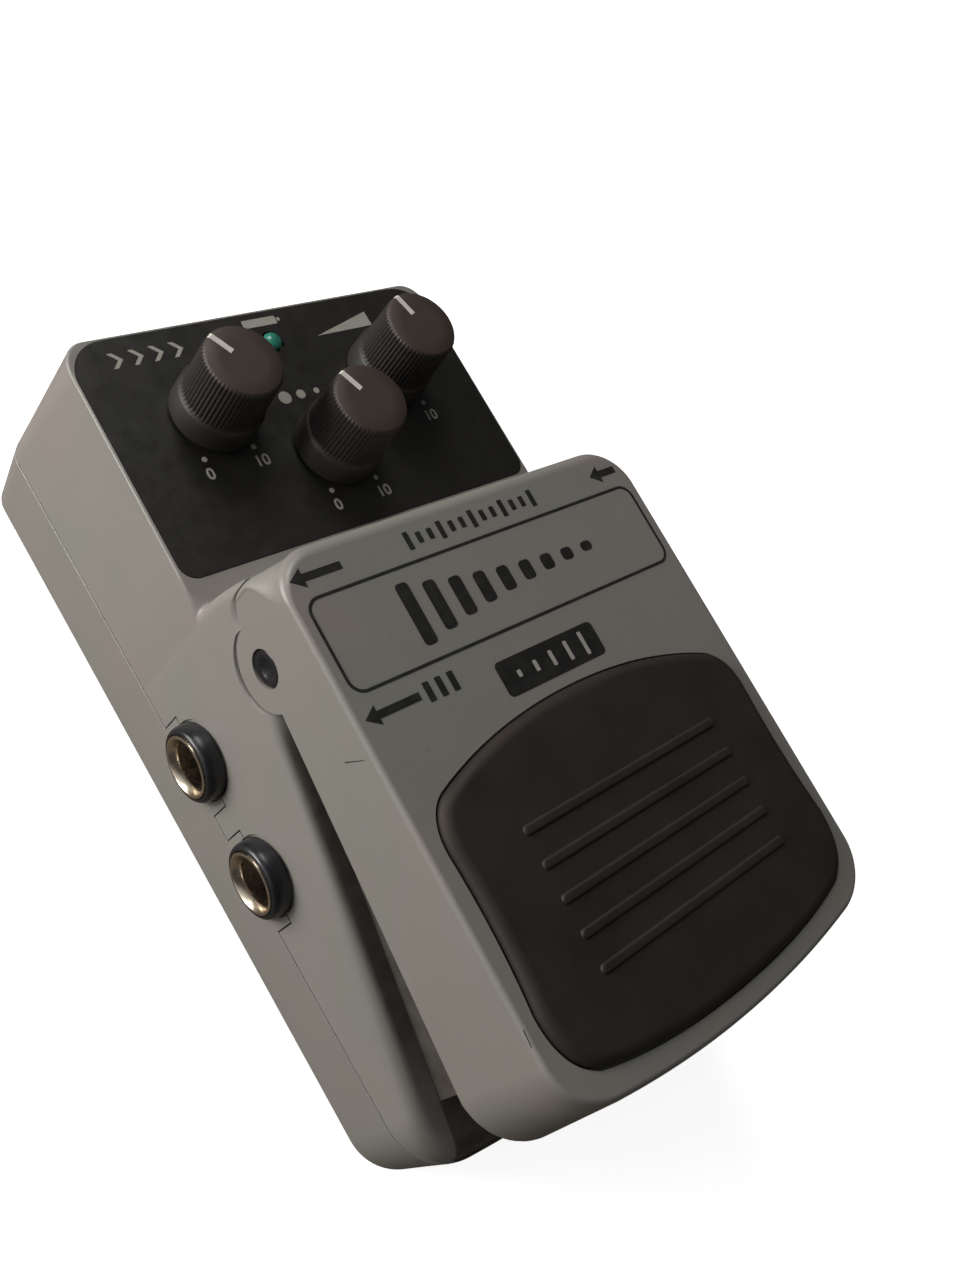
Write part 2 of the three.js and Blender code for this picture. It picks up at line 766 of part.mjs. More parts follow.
// The lower case: a tray whose side walls rise in a tongue under each jack
function lowerCase() {
  const outline = casePlan(0);
  const lean = (p) => case_under_lean_share * (parting_height - foot_stand);
  const outer = lofted([
    ring(outline, (p) => lean(p) + case_bottom_bevel, () => foot_stand),
    ring(outline, (p) => lean(p) + case_bottom_bevel / 3, () => foot_stand + case_bottom_bevel / 3),
    ring(outline, lean, () => foot_stand + case_bottom_bevel),
    ring(outline, () => 0, () => parting_height),
  ]);
  const inside = casePlan(case_wall);
  const hollow = lofted([
    ring(inside, lean, () => foot_stand + case_floor),
    ring(inside, () => 0, () => parting_height + overrun),
  ]);
  const tongues = jacks.map(({ side, y }) => {
    const x1 = case_half_width - case_lean_share * (tongue_height - parting_height);
    const [t0, t1] = spanX(side, x1 - case_wall, x1);
    return block(t0, t1, y - tongue_half_width, y + tongue_half_width, case_floor + foot_stand,
      tongue_height);
  });
  const posts = case_screws.map(([x, y]) => rodZ(
    screw_post_radius, x, y, foot_stand + case_floor / 2, boss_foot_height - seat_gap));
  const boardPosts = board_screw_places.map(([x, y]) => rodZ(
    board_post_radius, x, y, foot_stand + case_floor / 2, main_board_bottom - seat_gap,
    screw_sides));
  const screwHoles = case_screws.flatMap(([x, y]) => [
    rodZ(screw_hole, x, y, 0, boss_foot_height + overrun, screw_sides),
    rodZ(screw_head_hole, x, y, 0, foot_stand + screw_head_depth),
  ]);
  const boardHoles = board_screw_places.map(([x, y]) => rodZ(
    screw_hole, x, y, main_board_bottom - board_screw_length, main_board_bottom + overrun,
    screw_sides));
  const footSeats = feet.map(([x, y]) => rodZ(
    foot_radius + slip_gap, x, y, 0, foot_stand + foot_seat_depth, hole_sides));
  const tray = sum(outer.subtract(hollow), ...tongues, ...posts, ...boardPosts);
  const sleeves = jacks.map(({ side, y }) => {
    const [x0, x1] = spanX(side, jack_body_inner_x, case_half_width + overrun);
    return rodX(sleeve_radius + slip_gap, x0, x1, y, jack_height, hole_sides);
  });
  const nutSeats = jacks.map(({ side, y }) => {
    const [x0, x1] = spanX(side, nut_seat_x, case_half_width + overrun);
    return rodX(nut_radius + slip_gap, x0, x1, y, jack_height, nut_sides);
  });
  const bodies = jacks.map(({ side, y }) => {
    const [x0, x1] = spanX(side, jack_body_inner_x, jack_body_outer_x + slip_gap);
    return block(x0, x1, y - tongue_half_width, y + tongue_half_width,
      parting_height, tongue_height + overrun);
  });
  return without(tray, ...screwHoles, ...boardHoles, ...footSeats, ...sleeves, ...nutSeats,
    ...bodies, inletHole());
}

const feet = [[foot_x, foot_y], [-foot_x, foot_y], [foot_x, -foot_y], [-foot_x, -foot_y]];
const main_board_top = jack_height - jack_body_half - seat_gap;
const main_board_bottom = main_board_top - board_thickness;

// The treadle: a shell open below, whose side walls hang down in an ear at each hinge pin
function treadleLean(p, z) {
  const frontShare = Math.max(0, -p.ny) ** 2 * (treadle_front_lean_share - treadle_lean_share);
  const sideShare = (1 - Math.max(0, p.ny)) * treadle_lean_share;
  return (sideShare + frontShare) * (z - skirt_front_height);
}

function treadleEdge(p) {
  return treadle_edge_radius + (treadle_rear_radius - treadle_edge_radius) * Math.max(0, p.ny);
}

function treadlePlan(inset, rear) {
  return plan({
    half: treadle_half_width - inset, back: treadle_back - inset, front: treadle_front - inset,
    bulge: treadle_bulge, rear: Math.max(rear - inset, treadle_inner_corner),
    corner: treadle_front_corner - inset,
    stations: [],
  });
}

// The rear corners are sharp beside the ears and grow rounder towards the top
function treadleForm(inset, edge, drop) {
  const top = (y) => treadleZ(y) - drop;
  const above = (share) => (p, y) => (
    ridge_height + share * (top(y) - edge(p) - ridge_height));
  const corners = [
    [treadle_ear_corner, () => treadle_base_height],
    [treadle_ear_corner, above(0)],
    [(treadle_ear_corner + treadle_rear_corner) / 2, above(1 / 2)],
  ];
  const rings = corners.map(([corner, height]) => ring(
    treadlePlan(inset, corner), (p) => treadleLean(p, height(p, p.y)), height));
  const high = treadlePlan(inset, treadle_rear_corner);
  return lofted([...rings, ...edgeRings(high, treadleLean, edge, top, 3)]);
}

const skirt_height = hinge_height - skirt_drop;
const skirtZ = (y) => skirt_height + skirt_slope_share * (y - skirt_y);
const treadle_under = treadleZ(press_y) - treadle_wall;

function treadle() {
  const shell = treadleForm(0, treadleEdge, 0).subtract(
    treadleForm(treadle_wall, () => treadle_edge_radius / 3, treadle_wall));
  const far = case_back + overrun;
  const low = treadle_base_height - overrun;
  const wide = case_half_width + overrun;
  const below = sideSlab([
    [-far, low],
    [far, low],
    [far, ridge_height],
    ...tailArc(tail_radius, tail_steps),
    [skirt_y, skirt_height],
    [-skirt_front_y, skirtZ(-skirt_front_y)],
    [-skirt_front_y - skirt_front_run, skirt_front_height],
    [-far, skirt_front_height],
  ], -wide, wide);
  const earInner = treadle_half_width - treadle_wall - slip_gap;
  const ears = sum(
    rodX(ear_radius, earInner, wide, hinge_y, hinge_height, 2 * hole_sides),
    rodX(ear_radius, -wide, -earInner, hinge_y, hinge_height, 2 * hole_sides));
  const post = rodZ(press_post_radius, switch_x, press_y, plunger_top + plunger_lift,
    treadle_under + treadle_wall / 2);
  const spigot = rodZ(spring_spigot_radius, spring_x, press_y,
    treadle_under - spring_spigot_height, treadle_under + treadle_wall / 2);
  const pinHoles = rodX(pin_tip_radius + slip_gap, -wide, wide, hinge_y, hinge_height);
  const padSeat = padForm(slip_gap, -pad_seat_depth, overrun, overrun);
  return without(sum(shell.subtract(below.subtract(ears)), post, spigot), pinHoles,
    onTreadle(padSeat));
}

// The rubber pad and its seat share one outline, in the frame of the treadle's sloping top
const treadle_tilt = Math.atan(treadle_slope_share);
const alongTreadle = (y) => (y - treadle_top_y) / Math.cos(treadle_tilt);

function onTreadle(solid) {
  const tilt = new THREE.Matrix4().makeRotationX(treadle_tilt);
  tilt.setPosition(0, treadle_top_y, treadle_top_height);
  return solidOf(geometryOf(solid).applyMatrix4(tilt));
}

function padOutline() {
  const back = alongTreadle(-pad_back);
  const front = alongTreadle(-pad_front);
  const path = new THREE.Path();
  path.moveTo(0, back);
  path.quadraticCurveTo(pad_back_half / 2, back,
    pad_back_half - pad_shoulder_corner / 2, back - pad_shoulder);
  path.quadraticCurveTo(pad_back_half, back - pad_shoulder - pad_shoulder_corner / 4,
    pad_back_half, back - pad_shoulder - pad_shoulder_corner);
  path.quadraticCurveTo(pad_front_half - pad_corner / 4, (back + front) / 2,
    pad_front_half, front + pad_chin + 2 * pad_corner);
  path.quadraticCurveTo(pad_front_half, front + pad_chin + pad_corner / 2,
    pad_front_half - pad_corner, front + pad_chin);
  path.quadraticCurveTo(pad_front_half / 2, front, 0, front);
  const points = [];
  path.curves.forEach((curve, number) => {
    for (let k = number ? 1 : 0; k <= front_steps; k++) {
      const at = curve.getPoint(k / front_steps);
      const run = curve.getTangent(k / front_steps);
      points.push({ x: at.x, y: at.y, nx: -run.y, ny: run.x });
    }
  });
  return points;
}

function padForm(grow, bottom, top, bevel) {
  const outline = padOutline();
  const rings = [ring(outline, () => -grow, () => bottom)];
  if (bevel < top) {
    for (const share of pad_bevel_shares) {
      const drop = bevel * (1 - Math.sin(Math.PI / 2 * share));
      const inset = pad_bevel_width * (1 - Math.cos(Math.PI / 2 * share));
      rings.push(ring(outline, () => inset - grow, () => top - drop));
    }
  } else {
    rings.push(ring(outline, () => -grow, () => top));
  }
  return lofted(rings);
}

function pad() {
  const body = padForm(0, seat_gap - pad_seat_depth, pad_stand, pad_bevel);
  const ribs = [];
  for (let k = 0; k < pad_rib_count; k++) {
    const y = alongTreadle(-pad_rib_back - pad_rib_pitch * k);
    const half = pad_rib_width / 2;
    const shape = roundedShape(-pad_rib_reach, pad_rib_reach, y - half, y + half,
      half - weld, half - weld);
    ribs.push(planSlab(shape, pad_stand / 2, pad_stand + pad_rib_height, 2));
  }
  return sum(body, ...ribs);
}

// Hardware, each made about its own axis
function screw(length, headRadius) {
  return solidOf(revolved([
    [0, -screw_head_height], [headRadius, -screw_head_height / 2], [headRadius, 0],
    [screw_shank, 0], [screw_shank, length], [0, length],
  ], screw_sides));
}

function tube(profile, sides) {
  return solidOf(revolved([...profile, profile[0]], sides).rotateY(Math.PI / 2));
}

function jackNut() {
  const inner = sleeve_radius + slip_gap;
  return tube([
    [inner, nut_inner_x], [nut_radius, nut_inner_x], [nut_radius, nut_outer_x - nut_bevel],
    [nut_radius - nut_bevel, nut_outer_x], [inner, nut_outer_x],
  ], nut_sides);
}

function jackSleeve() {
  const lip = (sleeve_radius - jack_bore) / 2;
  return tube([
    [jack_bore, jack_body_outer_x + seat_gap], [sleeve_radius, jack_body_outer_x + seat_gap],
    [sleeve_radius, sleeve_end_x - lip / 2], [sleeve_radius - lip / 2, sleeve_end_x],
    [jack_bore + lip / 2, sleeve_end_x], [jack_bore, sleeve_end_x - lip],
  ], hole_sides);
}

function jackBody() {
  const body = block(jack_body_inner_x, jack_body_outer_x, -jack_body_half, jack_body_half,
    -jack_body_half, jack_body_half);
  const bore = rodX(jack_bore, jack_bore_end_x, jack_body_outer_x + overrun, 0, 0);
  const window_cut = block(contact_x - contact_half_length, contact_x + contact_half_length,
    -contact_width / 2 - slip_gap, contact_width / 2 + slip_gap, 0, jack_body_half + overrun);
  return without(body, bore, window_cut);
}

// A leaf spring bent to a V, lying on the jack and dipping through its window to the bore
function jackContact() {
  const top = jack_body_half + seat_gap;
  const low = jack_bore + slip_gap;
  const half = contact_half_length - contact_leaf;
  const dip = half - contact_leaf;
  const shape = shapeOf([
    [-half - contact_reach, top], [-half, top], [0, low], [dip, top - contact_leaf],
    [dip, top + contact_leaf], [0, low + 2 * contact_leaf], [-half + contact_leaf, top + contact_leaf],
    [-half - contact_reach, top + contact_leaf],
  ]);
  const leaf = new THREE.ExtrudeGeometry(shape, { depth: contact_width, bevelEnabled: false });
  leaf.rotateX(Math.PI / 2).translate(contact_x, contact_width / 2, 0);
  return solidOf(leaf);
}

function hingePin() {
  return solidOf(revolved([
    [0, pin_body_inner_x], [pin_body_radius, pin_body_inner_x],
    [pin_body_radius, lug_outer_x - slip_gap], [pin_tip_radius, lug_outer_x - slip_gap],
    [pin_tip_radius, pin_tip_x], [pin_dimple_radius, pin_tip_x],
    [0, pin_tip_x - pin_dimple_depth],
  ], rod_sides).rotateY(Math.PI / 2));
}

function hingeSpring() {
  const start = pin_bore_end_x + seat_gap + pin_spring_wire;
  const end = pin_body_inner_x - seat_gap - pin_spring_wire;
  return solidOf(coil(pin_spring_radius, pin_spring_wire, pin_spring_turns, start, end)
    .rotateY(Math.PI / 2));
}

function knobRing(radius, height, groove) {
  const count = knob_flutes * flute_steps;
  return Array.from({ length: count }, (_, k) => {
    const a = Math.PI / 2 - Math.PI * 2 * k / count;
    const r = radius - (k % flute_steps ? 0 : groove);
    return [r * Math.cos(a), r * Math.sin(a), height];
  });
}

function knob() {
  const ledge = (knob_skirt_radius - knob_neck_radius) / 2;
  const form = lofted([
    knobRing(knob_skirt_radius, knob_lift, 0),
    knobRing(knob_skirt_radius - ledge, knob_skirt_height - ledge, 0),
    knobRing(knob_neck_radius, knob_skirt_height, 0),
    knobRing(knob_neck_radius, knob_skirt_height + ledge, knob_flute_depth),
    knobRing(knob_top_radius, knob_height - knob_face_drop, knob_flute_depth),
    knobRing(knob_face_radius, knob_height, 0),
  ]);
  const bore = rodZ(shaft_radius + slip_gap, 0, 0, -overrun, knob_bore_depth);
  const pointer = block(-pointer_width / 2, pointer_width / 2, pointer_inner,
    knob_skirt_radius + overrun, knob_height - pointer_depth, knob_height + overrun);
  return without(form, bore, pointer);
}

const pot_top = -(deck_roof + seat_gap);
const pot_bottom = pot_top - pot_height;

function potBody() {
  const body = block(-pot_half_width, pot_half_width, -pot_half_length, pot_half_length,
    pot_bottom, pot_top);
  return body.subtract(rodZ(shaft_radius + slip_gap, 0, 0, pot_top - pot_bore_depth, overrun));
}

function potShaft() {
  return rodZ(shaft_radius, 0, 0, pot_top - pot_bore_depth + seat_gap,
    knob_bore_depth - seat_gap);
}

function led() {
  const lens = solidOf(revolved([
    [0, -led_body_depth], [led_flange_radius, -led_body_depth],
    [led_flange_radius, led_flange - led_body_depth], [led_radius, led_flange - led_body_depth],
    [led_radius, 0], [led_radius * Math.cos(Math.PI / 4), led_dome * Math.sin(Math.PI / 4)],
    [0, led_dome],
  ], rod_sides));
  const legs = [-led_leg_spread, led_leg_spread].map((x) => block(
    x - led_leg / 2, x + led_leg / 2, -led_leg / 2, led_leg / 2,
    control_board_top + seat_gap, led_flange - led_body_depth));
  return sum(lens, ...legs);
}

function controlBoard() {
  const shape = roundedShape(-control_board_half_width, control_board_half_width,
    alongDeck(control_board_front_y), alongDeck(control_board_back_y), board_thickness,
    board_thickness);
  const board = planSlab(shape, control_board_top - board_thickness, control_board_top, 1);
  const bossHoles = case_screws.filter(([, y]) => y > 0).map(([x, y]) => rodZ(
    boss_radius + 3 * slip_gap, x, alongDeck(y), control_board_top - overrun, 0));
  const postHoles = deck_posts.map((x) => rodZ(
    screw_hole, x, alongDeck(deck_post_y), control_board_top - overrun, 0, screw_sides));
  return without(board, ...bossHoles, ...postHoles);
}

function mainBoard() {
  const shape = roundedShape(-main_board_half_width, main_board_half_width, -main_board_front,
    main_board_back_y, board_thickness, board_thickness);
  const board = planSlab(shape, main_board_bottom, main_board_top, 1);
  const bossHoles = case_screws.filter(([, y]) => y > 0).map(([x, y]) => rodZ(
    screw_post_radius + slip_gap, x, y, 0, main_board_top + overrun));
  const screwHoles = board_screw_places.map(([x, y]) => rodZ(
    screw_hole, x, y, 0, main_board_top + overrun, screw_sides));
  return without(board, ...bossHoles, ...screwHoles);
}

function ribbon() {
  const low = main_board_top + seat_gap;
  const under = control_board_top - board_thickness - seat_gap;
  const high = deckZ(ribbon_y) + under / Math.cos(deck_tilt) - seat_gap / 2;
  const steps = 2 * corner_steps;
  const edge = (offset) => Array.from({ length: steps + 1 }, (_, k) => {
    const bend = ribbon_sway * Math.sin(Math.PI * 2 * k / steps);
    return [ribbon_y + bend + offset, low + (high - low) * k / steps];
  });
  const outline = [...edge(-ribbon_thickness / 2), ...edge(ribbon_thickness / 2).reverse()];
  return sideSlab(outline, -ribbon_half_width, ribbon_half_width);
}

function inletBody() {
  const low = main_board_top + seat_gap;
  const body = block(-inlet_half_width, inlet_half_width, inlet_front_y, inlet_face_y,
    low, low + inlet_height);
  const collar = rodY(inlet_collar, 0, inlet_face_y - case_wall, case_back - seat_gap,
    jack_height, hole_sides);
  return sum(body, collar).subtract(rodY(inlet_bore, 0, case_back - inlet_bore_depth,
    case_back + overrun, jack_height));
}

function inletPin() {
  return rodY(inlet_pin_radius, 0, case_back - inlet_bore_depth + seat_gap,
    case_back - case_wall, jack_height);
}

const battery_x = -block_half_width + block_wall + 2 * seat_gap;
const battery_y = block_wall - block_front + seat_gap;
const battery_z = battery_floor_height + seat_gap;
const battery_end_x = battery_x + battery_length;
const terminals = [-1, 1].map((side) => [
  battery_y + battery_depth / 2 + side * terminal_spacing / 2,
  battery_z + battery_height / 2,
]);

function battery() {
  const shape = roundedShape(battery_y, battery_y + battery_depth, battery_z,
    battery_z + battery_height, battery_edge, battery_edge);
  const slab = new THREE.ExtrudeGeometry(shape,
    { depth: battery_length, bevelEnabled: false, curveSegments: flute_steps });
  const axes = new THREE.Matrix4().makeBasis(
    new THREE.Vector3(0, 1, 0), new THREE.Vector3(0, 0, 1), new THREE.Vector3(1, 0, 0));
  const body = solidOf(slab.applyMatrix4(axes).translate(battery_x, 0, 0));
  const studs = terminals.map(([y, z]) => rodX(
    terminal_radius, battery_end_x - terminal_stand, battery_end_x + terminal_stand, y, z));
  return sum(body, ...studs);
}

function batterySnap() {
  const [, z] = terminals[0];
  const x0 = battery_end_x + seat_gap;
  const cap = block(x0, x0 + snap_length, battery_y + battery_edge / 2,
    battery_y + battery_depth - battery_edge / 2, z - snap_height / 2, z + snap_height / 2);
  const pockets = terminals.map(([y, height]) => rodX(
    terminal_radius + slip_gap, x0 - overrun, battery_end_x + terminal_stand + seat_gap,
    y, height));
  return without(cap, ...pockets);
}

const switch_base = switch_well_floor + seat_gap;
const switch_top = switch_base + switch_body_height;
const plunger_top = switch_top + plunger_stand;

function switchBody() {
  const half = switch_body_side / 2;
  const body = block(switch_x - half, switch_x + half, press_y - half, press_y + half,
    switch_base, switch_top);
  return body.subtract(rodZ(
    switch_bore, switch_x, press_y, switch_base + switch_floor, switch_top + overrun));
}

function plunger() {
  const form = revolved([
    [0, plunger_top - plunger_height], [plunger_radius, plunger_top - plunger_height],
    [plunger_radius, plunger_top - plunger_lift], [plunger_radius - plunger_lift, plunger_top],
    [0, plunger_top],
  ], rod_sides);
  return solidOf(form.translate(switch_x, press_y, 0));
}

function treadleSpring() {
  const start = switch_well_floor + seat_gap + spring_wire;
  const slope = treadle_slope_share * (spring_radius + spring_wire);
  const end = treadle_under - slope - seat_gap - spring_wire;
  return solidOf(coil(spring_radius, spring_wire, spring_turns, start, end)
    .translate(spring_x, press_y, 0));
}

function foot() {
  return solidOf(revolved([
    [0, 0], [foot_radius - foot_edge, 0], [foot_radius, foot_edge],
    [foot_radius, foot_stand + foot_seat_depth - seat_gap],
    [0, foot_stand + foot_seat_depth - seat_gap],
  ], rod_sides));
}

// The pedal, put together
const pedal = new THREE.Group();

function place(group, x, y, z, turn = 0) {
  const holder = new THREE.Group();
  holder.position.set(x, y, z);
  holder.rotation.z = turn;
  group.add(holder);
  return holder;
}

pedal.add(
  named('bottom_case', 'case_grey', lowerCase()),
  named('top_case', 'case_grey', upperCase()),
  named('main_board', 'board_green', mainBoard()),
  named('board_ribbon', 'ribbon_grey', ribbon()),
  named('power_inlet_body', 'dark_plastic', inletBody()),
  named('power_inlet_pin', 'nickel', inletPin()),
  named('battery_9v', 'battery_wrap', battery()),
  named('battery_snap', 'dark_plastic', batterySnap()),
  named('foot_switch_body', 'dark_plastic', switchBody()),
  named('foot_switch_plunger', 'nickel', plunger()),
  named('treadle_spring', 'spring_steel', treadleSpring()),
  named('treadle_cover', 'case_grey', treadle()),
);

const treadleTop = new THREE.Group();
treadleTop.position.set(0, treadle_top_y, treadle_top_height);
treadleTop.rotation.x = treadle_tilt;
treadleTop.add(named('foot_pad', 'pad_rubber', pad()));
pedal.add(treadleTop);

const deck = new THREE.Group();
deck.position.set(0, deck_front_y, deck_front_height);
deck.rotation.x = deck_tilt;
pedal.add(deck);

function panel() {
  const plate = planSlab(panelShape(0), panel_proud - panel_thickness, panel_proud);
  const holes = knobs.map(({ x, y }) => rodZ(shaft_hole, x, alongDeck(y), -overrun, overrun));
  return without(plate, ...holes, rodZ(led_hole, 0, alongDeck(led_y), -overrun, overrun));
}

deck.add(named('control_panel', 'panel_black', panel()));
deck.add(named('control_board', 'board_green', controlBoard()));
place(deck, 0, alongDeck(led_y), panel_proud).add(named('led_lens', 'lens_green', led()));
for (const { name, x, y, turn } of knobs) {
  const holder = place(deck, x, alongDeck(y), panel_proud, turn * Math.PI / 180);
  holder.add(named(`knob_${name}`, 'knob_black', knob()));
  holder.add(named(`pot_shaft_${name}`, 'ribbon_grey', potShaft()));
  place(deck, x, alongDeck(y), 0).add(named(`pot_body_${name}`, 'dark_plastic', potBody()));
}
for (const x of deck_posts) {
  const side = x > 0 ? 'right' : 'left';
  const under = control_board_top - board_thickness - seat_gap;
  place(deck, x, alongDeck(deck_post_y), under)
    .add(named(`board_screw_deck_${side}`, 'spring_steel', screw(board_screw_length, 2 * screw_shank)));
}

for (const { name, side, y } of jacks) {
  const holder = place(pedal, 0, y, jack_height, side > 0 ? 0 : Math.PI);
  holder.add(
    named(`jack_nut_${name}`, 'dark_plastic', jackNut()),
    named(`jack_sleeve_${name}`, 'nickel', jackSleeve()),
    named(`jack_body_${name}`, 'dark_plastic', jackBody()),
    named(`jack_contact_${name}`, 'nickel', jackContact()),
  );
}

for (const [name, turn] of [['right', 0], ['left', Math.PI]]) {
  place(pedal, 0, hinge_y, hinge_height, turn).add(
    named(`hinge_pin_${name}`, 'dark_plastic', hingePin()),
    named(`hinge_spring_${name}`, 'spring_steel', hingeSpring()),
  );
}

case_screws.forEach(([x, y], number) => {
  place(pedal, x, y, foot_stand + screw_head_depth - seat_gap)
    .add(named(`case_screw_${number + 1}`, 'spring_steel', screw(screw_length, screw_head_radius)));
});

board_screw_places.forEach(([x, y], number) => {
  const holder = place(pedal, x, y, main_board_top + seat_gap);
  holder.rotation.x = Math.PI;
  holder.add(named(`board_screw_${number + 1}`, 'spring_steel',
    screw(board_screw_length + board_thickness / 2, 2 * screw_shank)));
});

feet.forEach(([x, y], number) => {
  place(pedal, x, y, 0).add(named(`rubber_foot_${number + 1}`, 'foot_rubber', foot()));
});

export default pedal;
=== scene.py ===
"""Looks of a compact foot pedal for guitar: a moulded case, a hinged treadle with a rubber pad, a
black control deck with three knobs, and jack sockets in the sides.

Lengths are in metres, with X to the right, Y to the back and Z up. The origin is on the floor under
the middle of the case."""

import json
import math

import bmesh
import bpy
from bpy.props import FloatProperty, FloatVectorProperty, IntProperty, PointerProperty
from mathutils import Matrix, Vector
from mathutils.geometry import interpolate_bezier


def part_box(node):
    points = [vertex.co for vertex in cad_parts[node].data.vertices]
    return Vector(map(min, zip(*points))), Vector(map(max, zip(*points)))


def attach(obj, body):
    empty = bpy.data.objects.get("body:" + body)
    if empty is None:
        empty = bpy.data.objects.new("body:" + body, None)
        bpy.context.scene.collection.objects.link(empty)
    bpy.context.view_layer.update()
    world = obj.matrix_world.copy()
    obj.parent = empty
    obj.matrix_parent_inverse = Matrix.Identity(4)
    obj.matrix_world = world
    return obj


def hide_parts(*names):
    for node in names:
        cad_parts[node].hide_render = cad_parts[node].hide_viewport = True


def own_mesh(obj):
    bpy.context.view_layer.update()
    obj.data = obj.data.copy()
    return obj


bl_info = {
    "name": "Foot Pedal",
    "version": (1, 0, 0),
    "blender": (4, 5, 0),
    "location": "3D View > Sidebar > Pedal",
    "description": "Builds the fine surfaces, markings and finishes of a compact guitar pedal",
    "category": "Object",
}

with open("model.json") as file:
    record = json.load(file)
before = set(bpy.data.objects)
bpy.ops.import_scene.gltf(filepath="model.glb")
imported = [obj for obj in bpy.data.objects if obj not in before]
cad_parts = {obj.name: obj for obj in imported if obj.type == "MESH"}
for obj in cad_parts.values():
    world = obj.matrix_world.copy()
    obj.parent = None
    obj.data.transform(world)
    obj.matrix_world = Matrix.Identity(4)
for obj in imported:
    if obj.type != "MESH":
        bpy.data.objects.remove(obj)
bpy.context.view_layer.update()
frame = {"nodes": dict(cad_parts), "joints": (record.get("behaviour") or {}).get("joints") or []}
MM = 0.001
JOINTS = {joint["name"]: joint for joint in frame["joints"]}
HINGE = Vector(JOINTS["treadle_press"]["pos_m"])
CASE_LOW, CASE_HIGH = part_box("bottom_case")
UPPER_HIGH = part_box("top_case")[1]
TREADLE_LOW, TREADLE_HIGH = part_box("treadle_cover")
PAD_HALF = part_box("foot_pad")[1].x
PANEL_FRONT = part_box("control_panel")[0].y
SWITCH_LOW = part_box("foot_switch_body")[0]
PLUNGER_LOW, PLUNGER_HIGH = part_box("foot_switch_plunger")
SPRING_LOW, SPRING_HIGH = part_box("treadle_spring")
BATTERY_LOW, BATTERY_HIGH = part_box("battery_9v")
KNOB_NAMES = ("left", "middle", "right")
JACK_NAMES = ("output", "direct", "input")


def middle(low, high):
    return (low + high) / 2


# The deck is a plane through the middle knob's joint, square to that joint's axis
DECK_POINT = Vector(JOINTS["middle_knob_turn"]["pos_m"])
DECK_NORMAL = Vector(JOINTS["middle_knob_turn"]["axis"])
DECK_SLOPE = -DECK_NORMAL.y / DECK_NORMAL.z
DECK_TILT = math.atan(DECK_SLOPE)


# Sizes and colours that a user would change
def size(name, description, default, **more):
    return FloatProperty(name=name, description=description, default=default * MM, unit="LENGTH",
                         precision=5, **more)


def share(name, description, default):
    return FloatProperty(name=name, description=description, default=default, precision=4)


def linear(hex_colour):
    """Turns an sRGB hex value to the linear colour that a shader takes."""
    channels = [int(hex_colour[k:k + 2], 16) / 255 for k in (1, 3, 5)]
    return [c / 12.92 if c <= 0.04045 else ((c + 0.055) / 1.055) ** 2.4 for c in channels]


def colour(name, description, hex_colour):
    return FloatVectorProperty(name=name, description=description, subtype="COLOR", size=3, min=0,
                               max=1, default=linear(hex_colour))


class PedalCase(bpy.types.PropertyGroup):
    wall: size("Wall", "Thickness of the moulded walls", 2.2)
    rear_corner: size("Rear corner", "Corner radius at the back, seen from above", 4.5)
    deck_corner: size("Deck corner", "Corner radius at the back of the deck", 6.5)
    front_corner: size("Front corner", "Corner radius at the front, seen from above", 9.5)
    bulge: size("Front bulge", "How far the front bows out in its middle", 3.5)
    parting: size("Parting height", "Height of the line where the two halves meet", 14.3)
    groove: size("Parting groove", "Depth of the slot along the parting line", 0.9)
    groove_width: size("Groove width", "Width of the slot along the parting line", 0.32)
    lean: share("Lean", "How far the upper walls lean in for each unit of height", 0.116)
    rear_lean: share("Rear lean", "How far the rear wall leans in for each unit of height", 0.03)
    under_lean: share("Under lean", "How far the lower walls lean in towards the floor", 0.01)
    under_front_lean: share("Under front lean", "How far the lower case's front leans in", 0.085)
    deck_edge: size("Deck edge", "Radius of the rim round the control deck", 0.4)
    ledge_edge: size("Ledge edge", "Radius of the rim round the ledge under the treadle", 2.5)
    bottom_edge: size("Bottom edge", "Radius of the edge at the underside", 0.6)
    ear_gap: size("Ear gap", "Gap between a treadle ear and its notch", 0.5)
    notch_edge: size("Notch edge", "Width of the softened edge of the ear notches", 0.8)
    shoulder: size("Shoulder", "Radius of the upright corner at each end of the ridge", 1.5)


class PedalTreadle(bpy.types.PropertyGroup):
    rear_corner: size("Rear corner", "Rear corner radius at the top", 7)
    ear_corner: size("Ear corner", "Rear corner radius beside the ears", 1)
    front_corner: size("Front corner", "Front corner radius, seen from above", 10)
    bulge: size("Front bulge", "How far the front bows out in its middle", 3.6)
    wall: size("Wall", "Thickness of the shell", 2.2)
    edge: size("Edge", "Radius of the upper edge", 0.8)
    rear_edge: size("Rear edge", "Radius of the upper edge at the back", 1.9)
    lean: share("Lean", "How far the sides lean in for each unit of height", 0.025)
    front_lean: share("Front lean", "How far the front leans in for each unit of height", 0.09)
    rise: size("Rise", "Height of the top's rear end above the hinge", 12.2)
    slope: share("Slope", "Slope of the top towards the front", 0.0569)
    ear_radius: size("Ear", "Radius of the ears at the hinge", 6)
    pad_stand: size("Pad stand", "How far the rubber pad stands above the treadle", 1.2)
    pad_bevel: size("Pad bevel", "Width of the rubber pad's rounded upper edge", 1.6)
    rib_count: IntProperty(name="Ribs", description="Raised ribs across the pad", default=5, min=0)


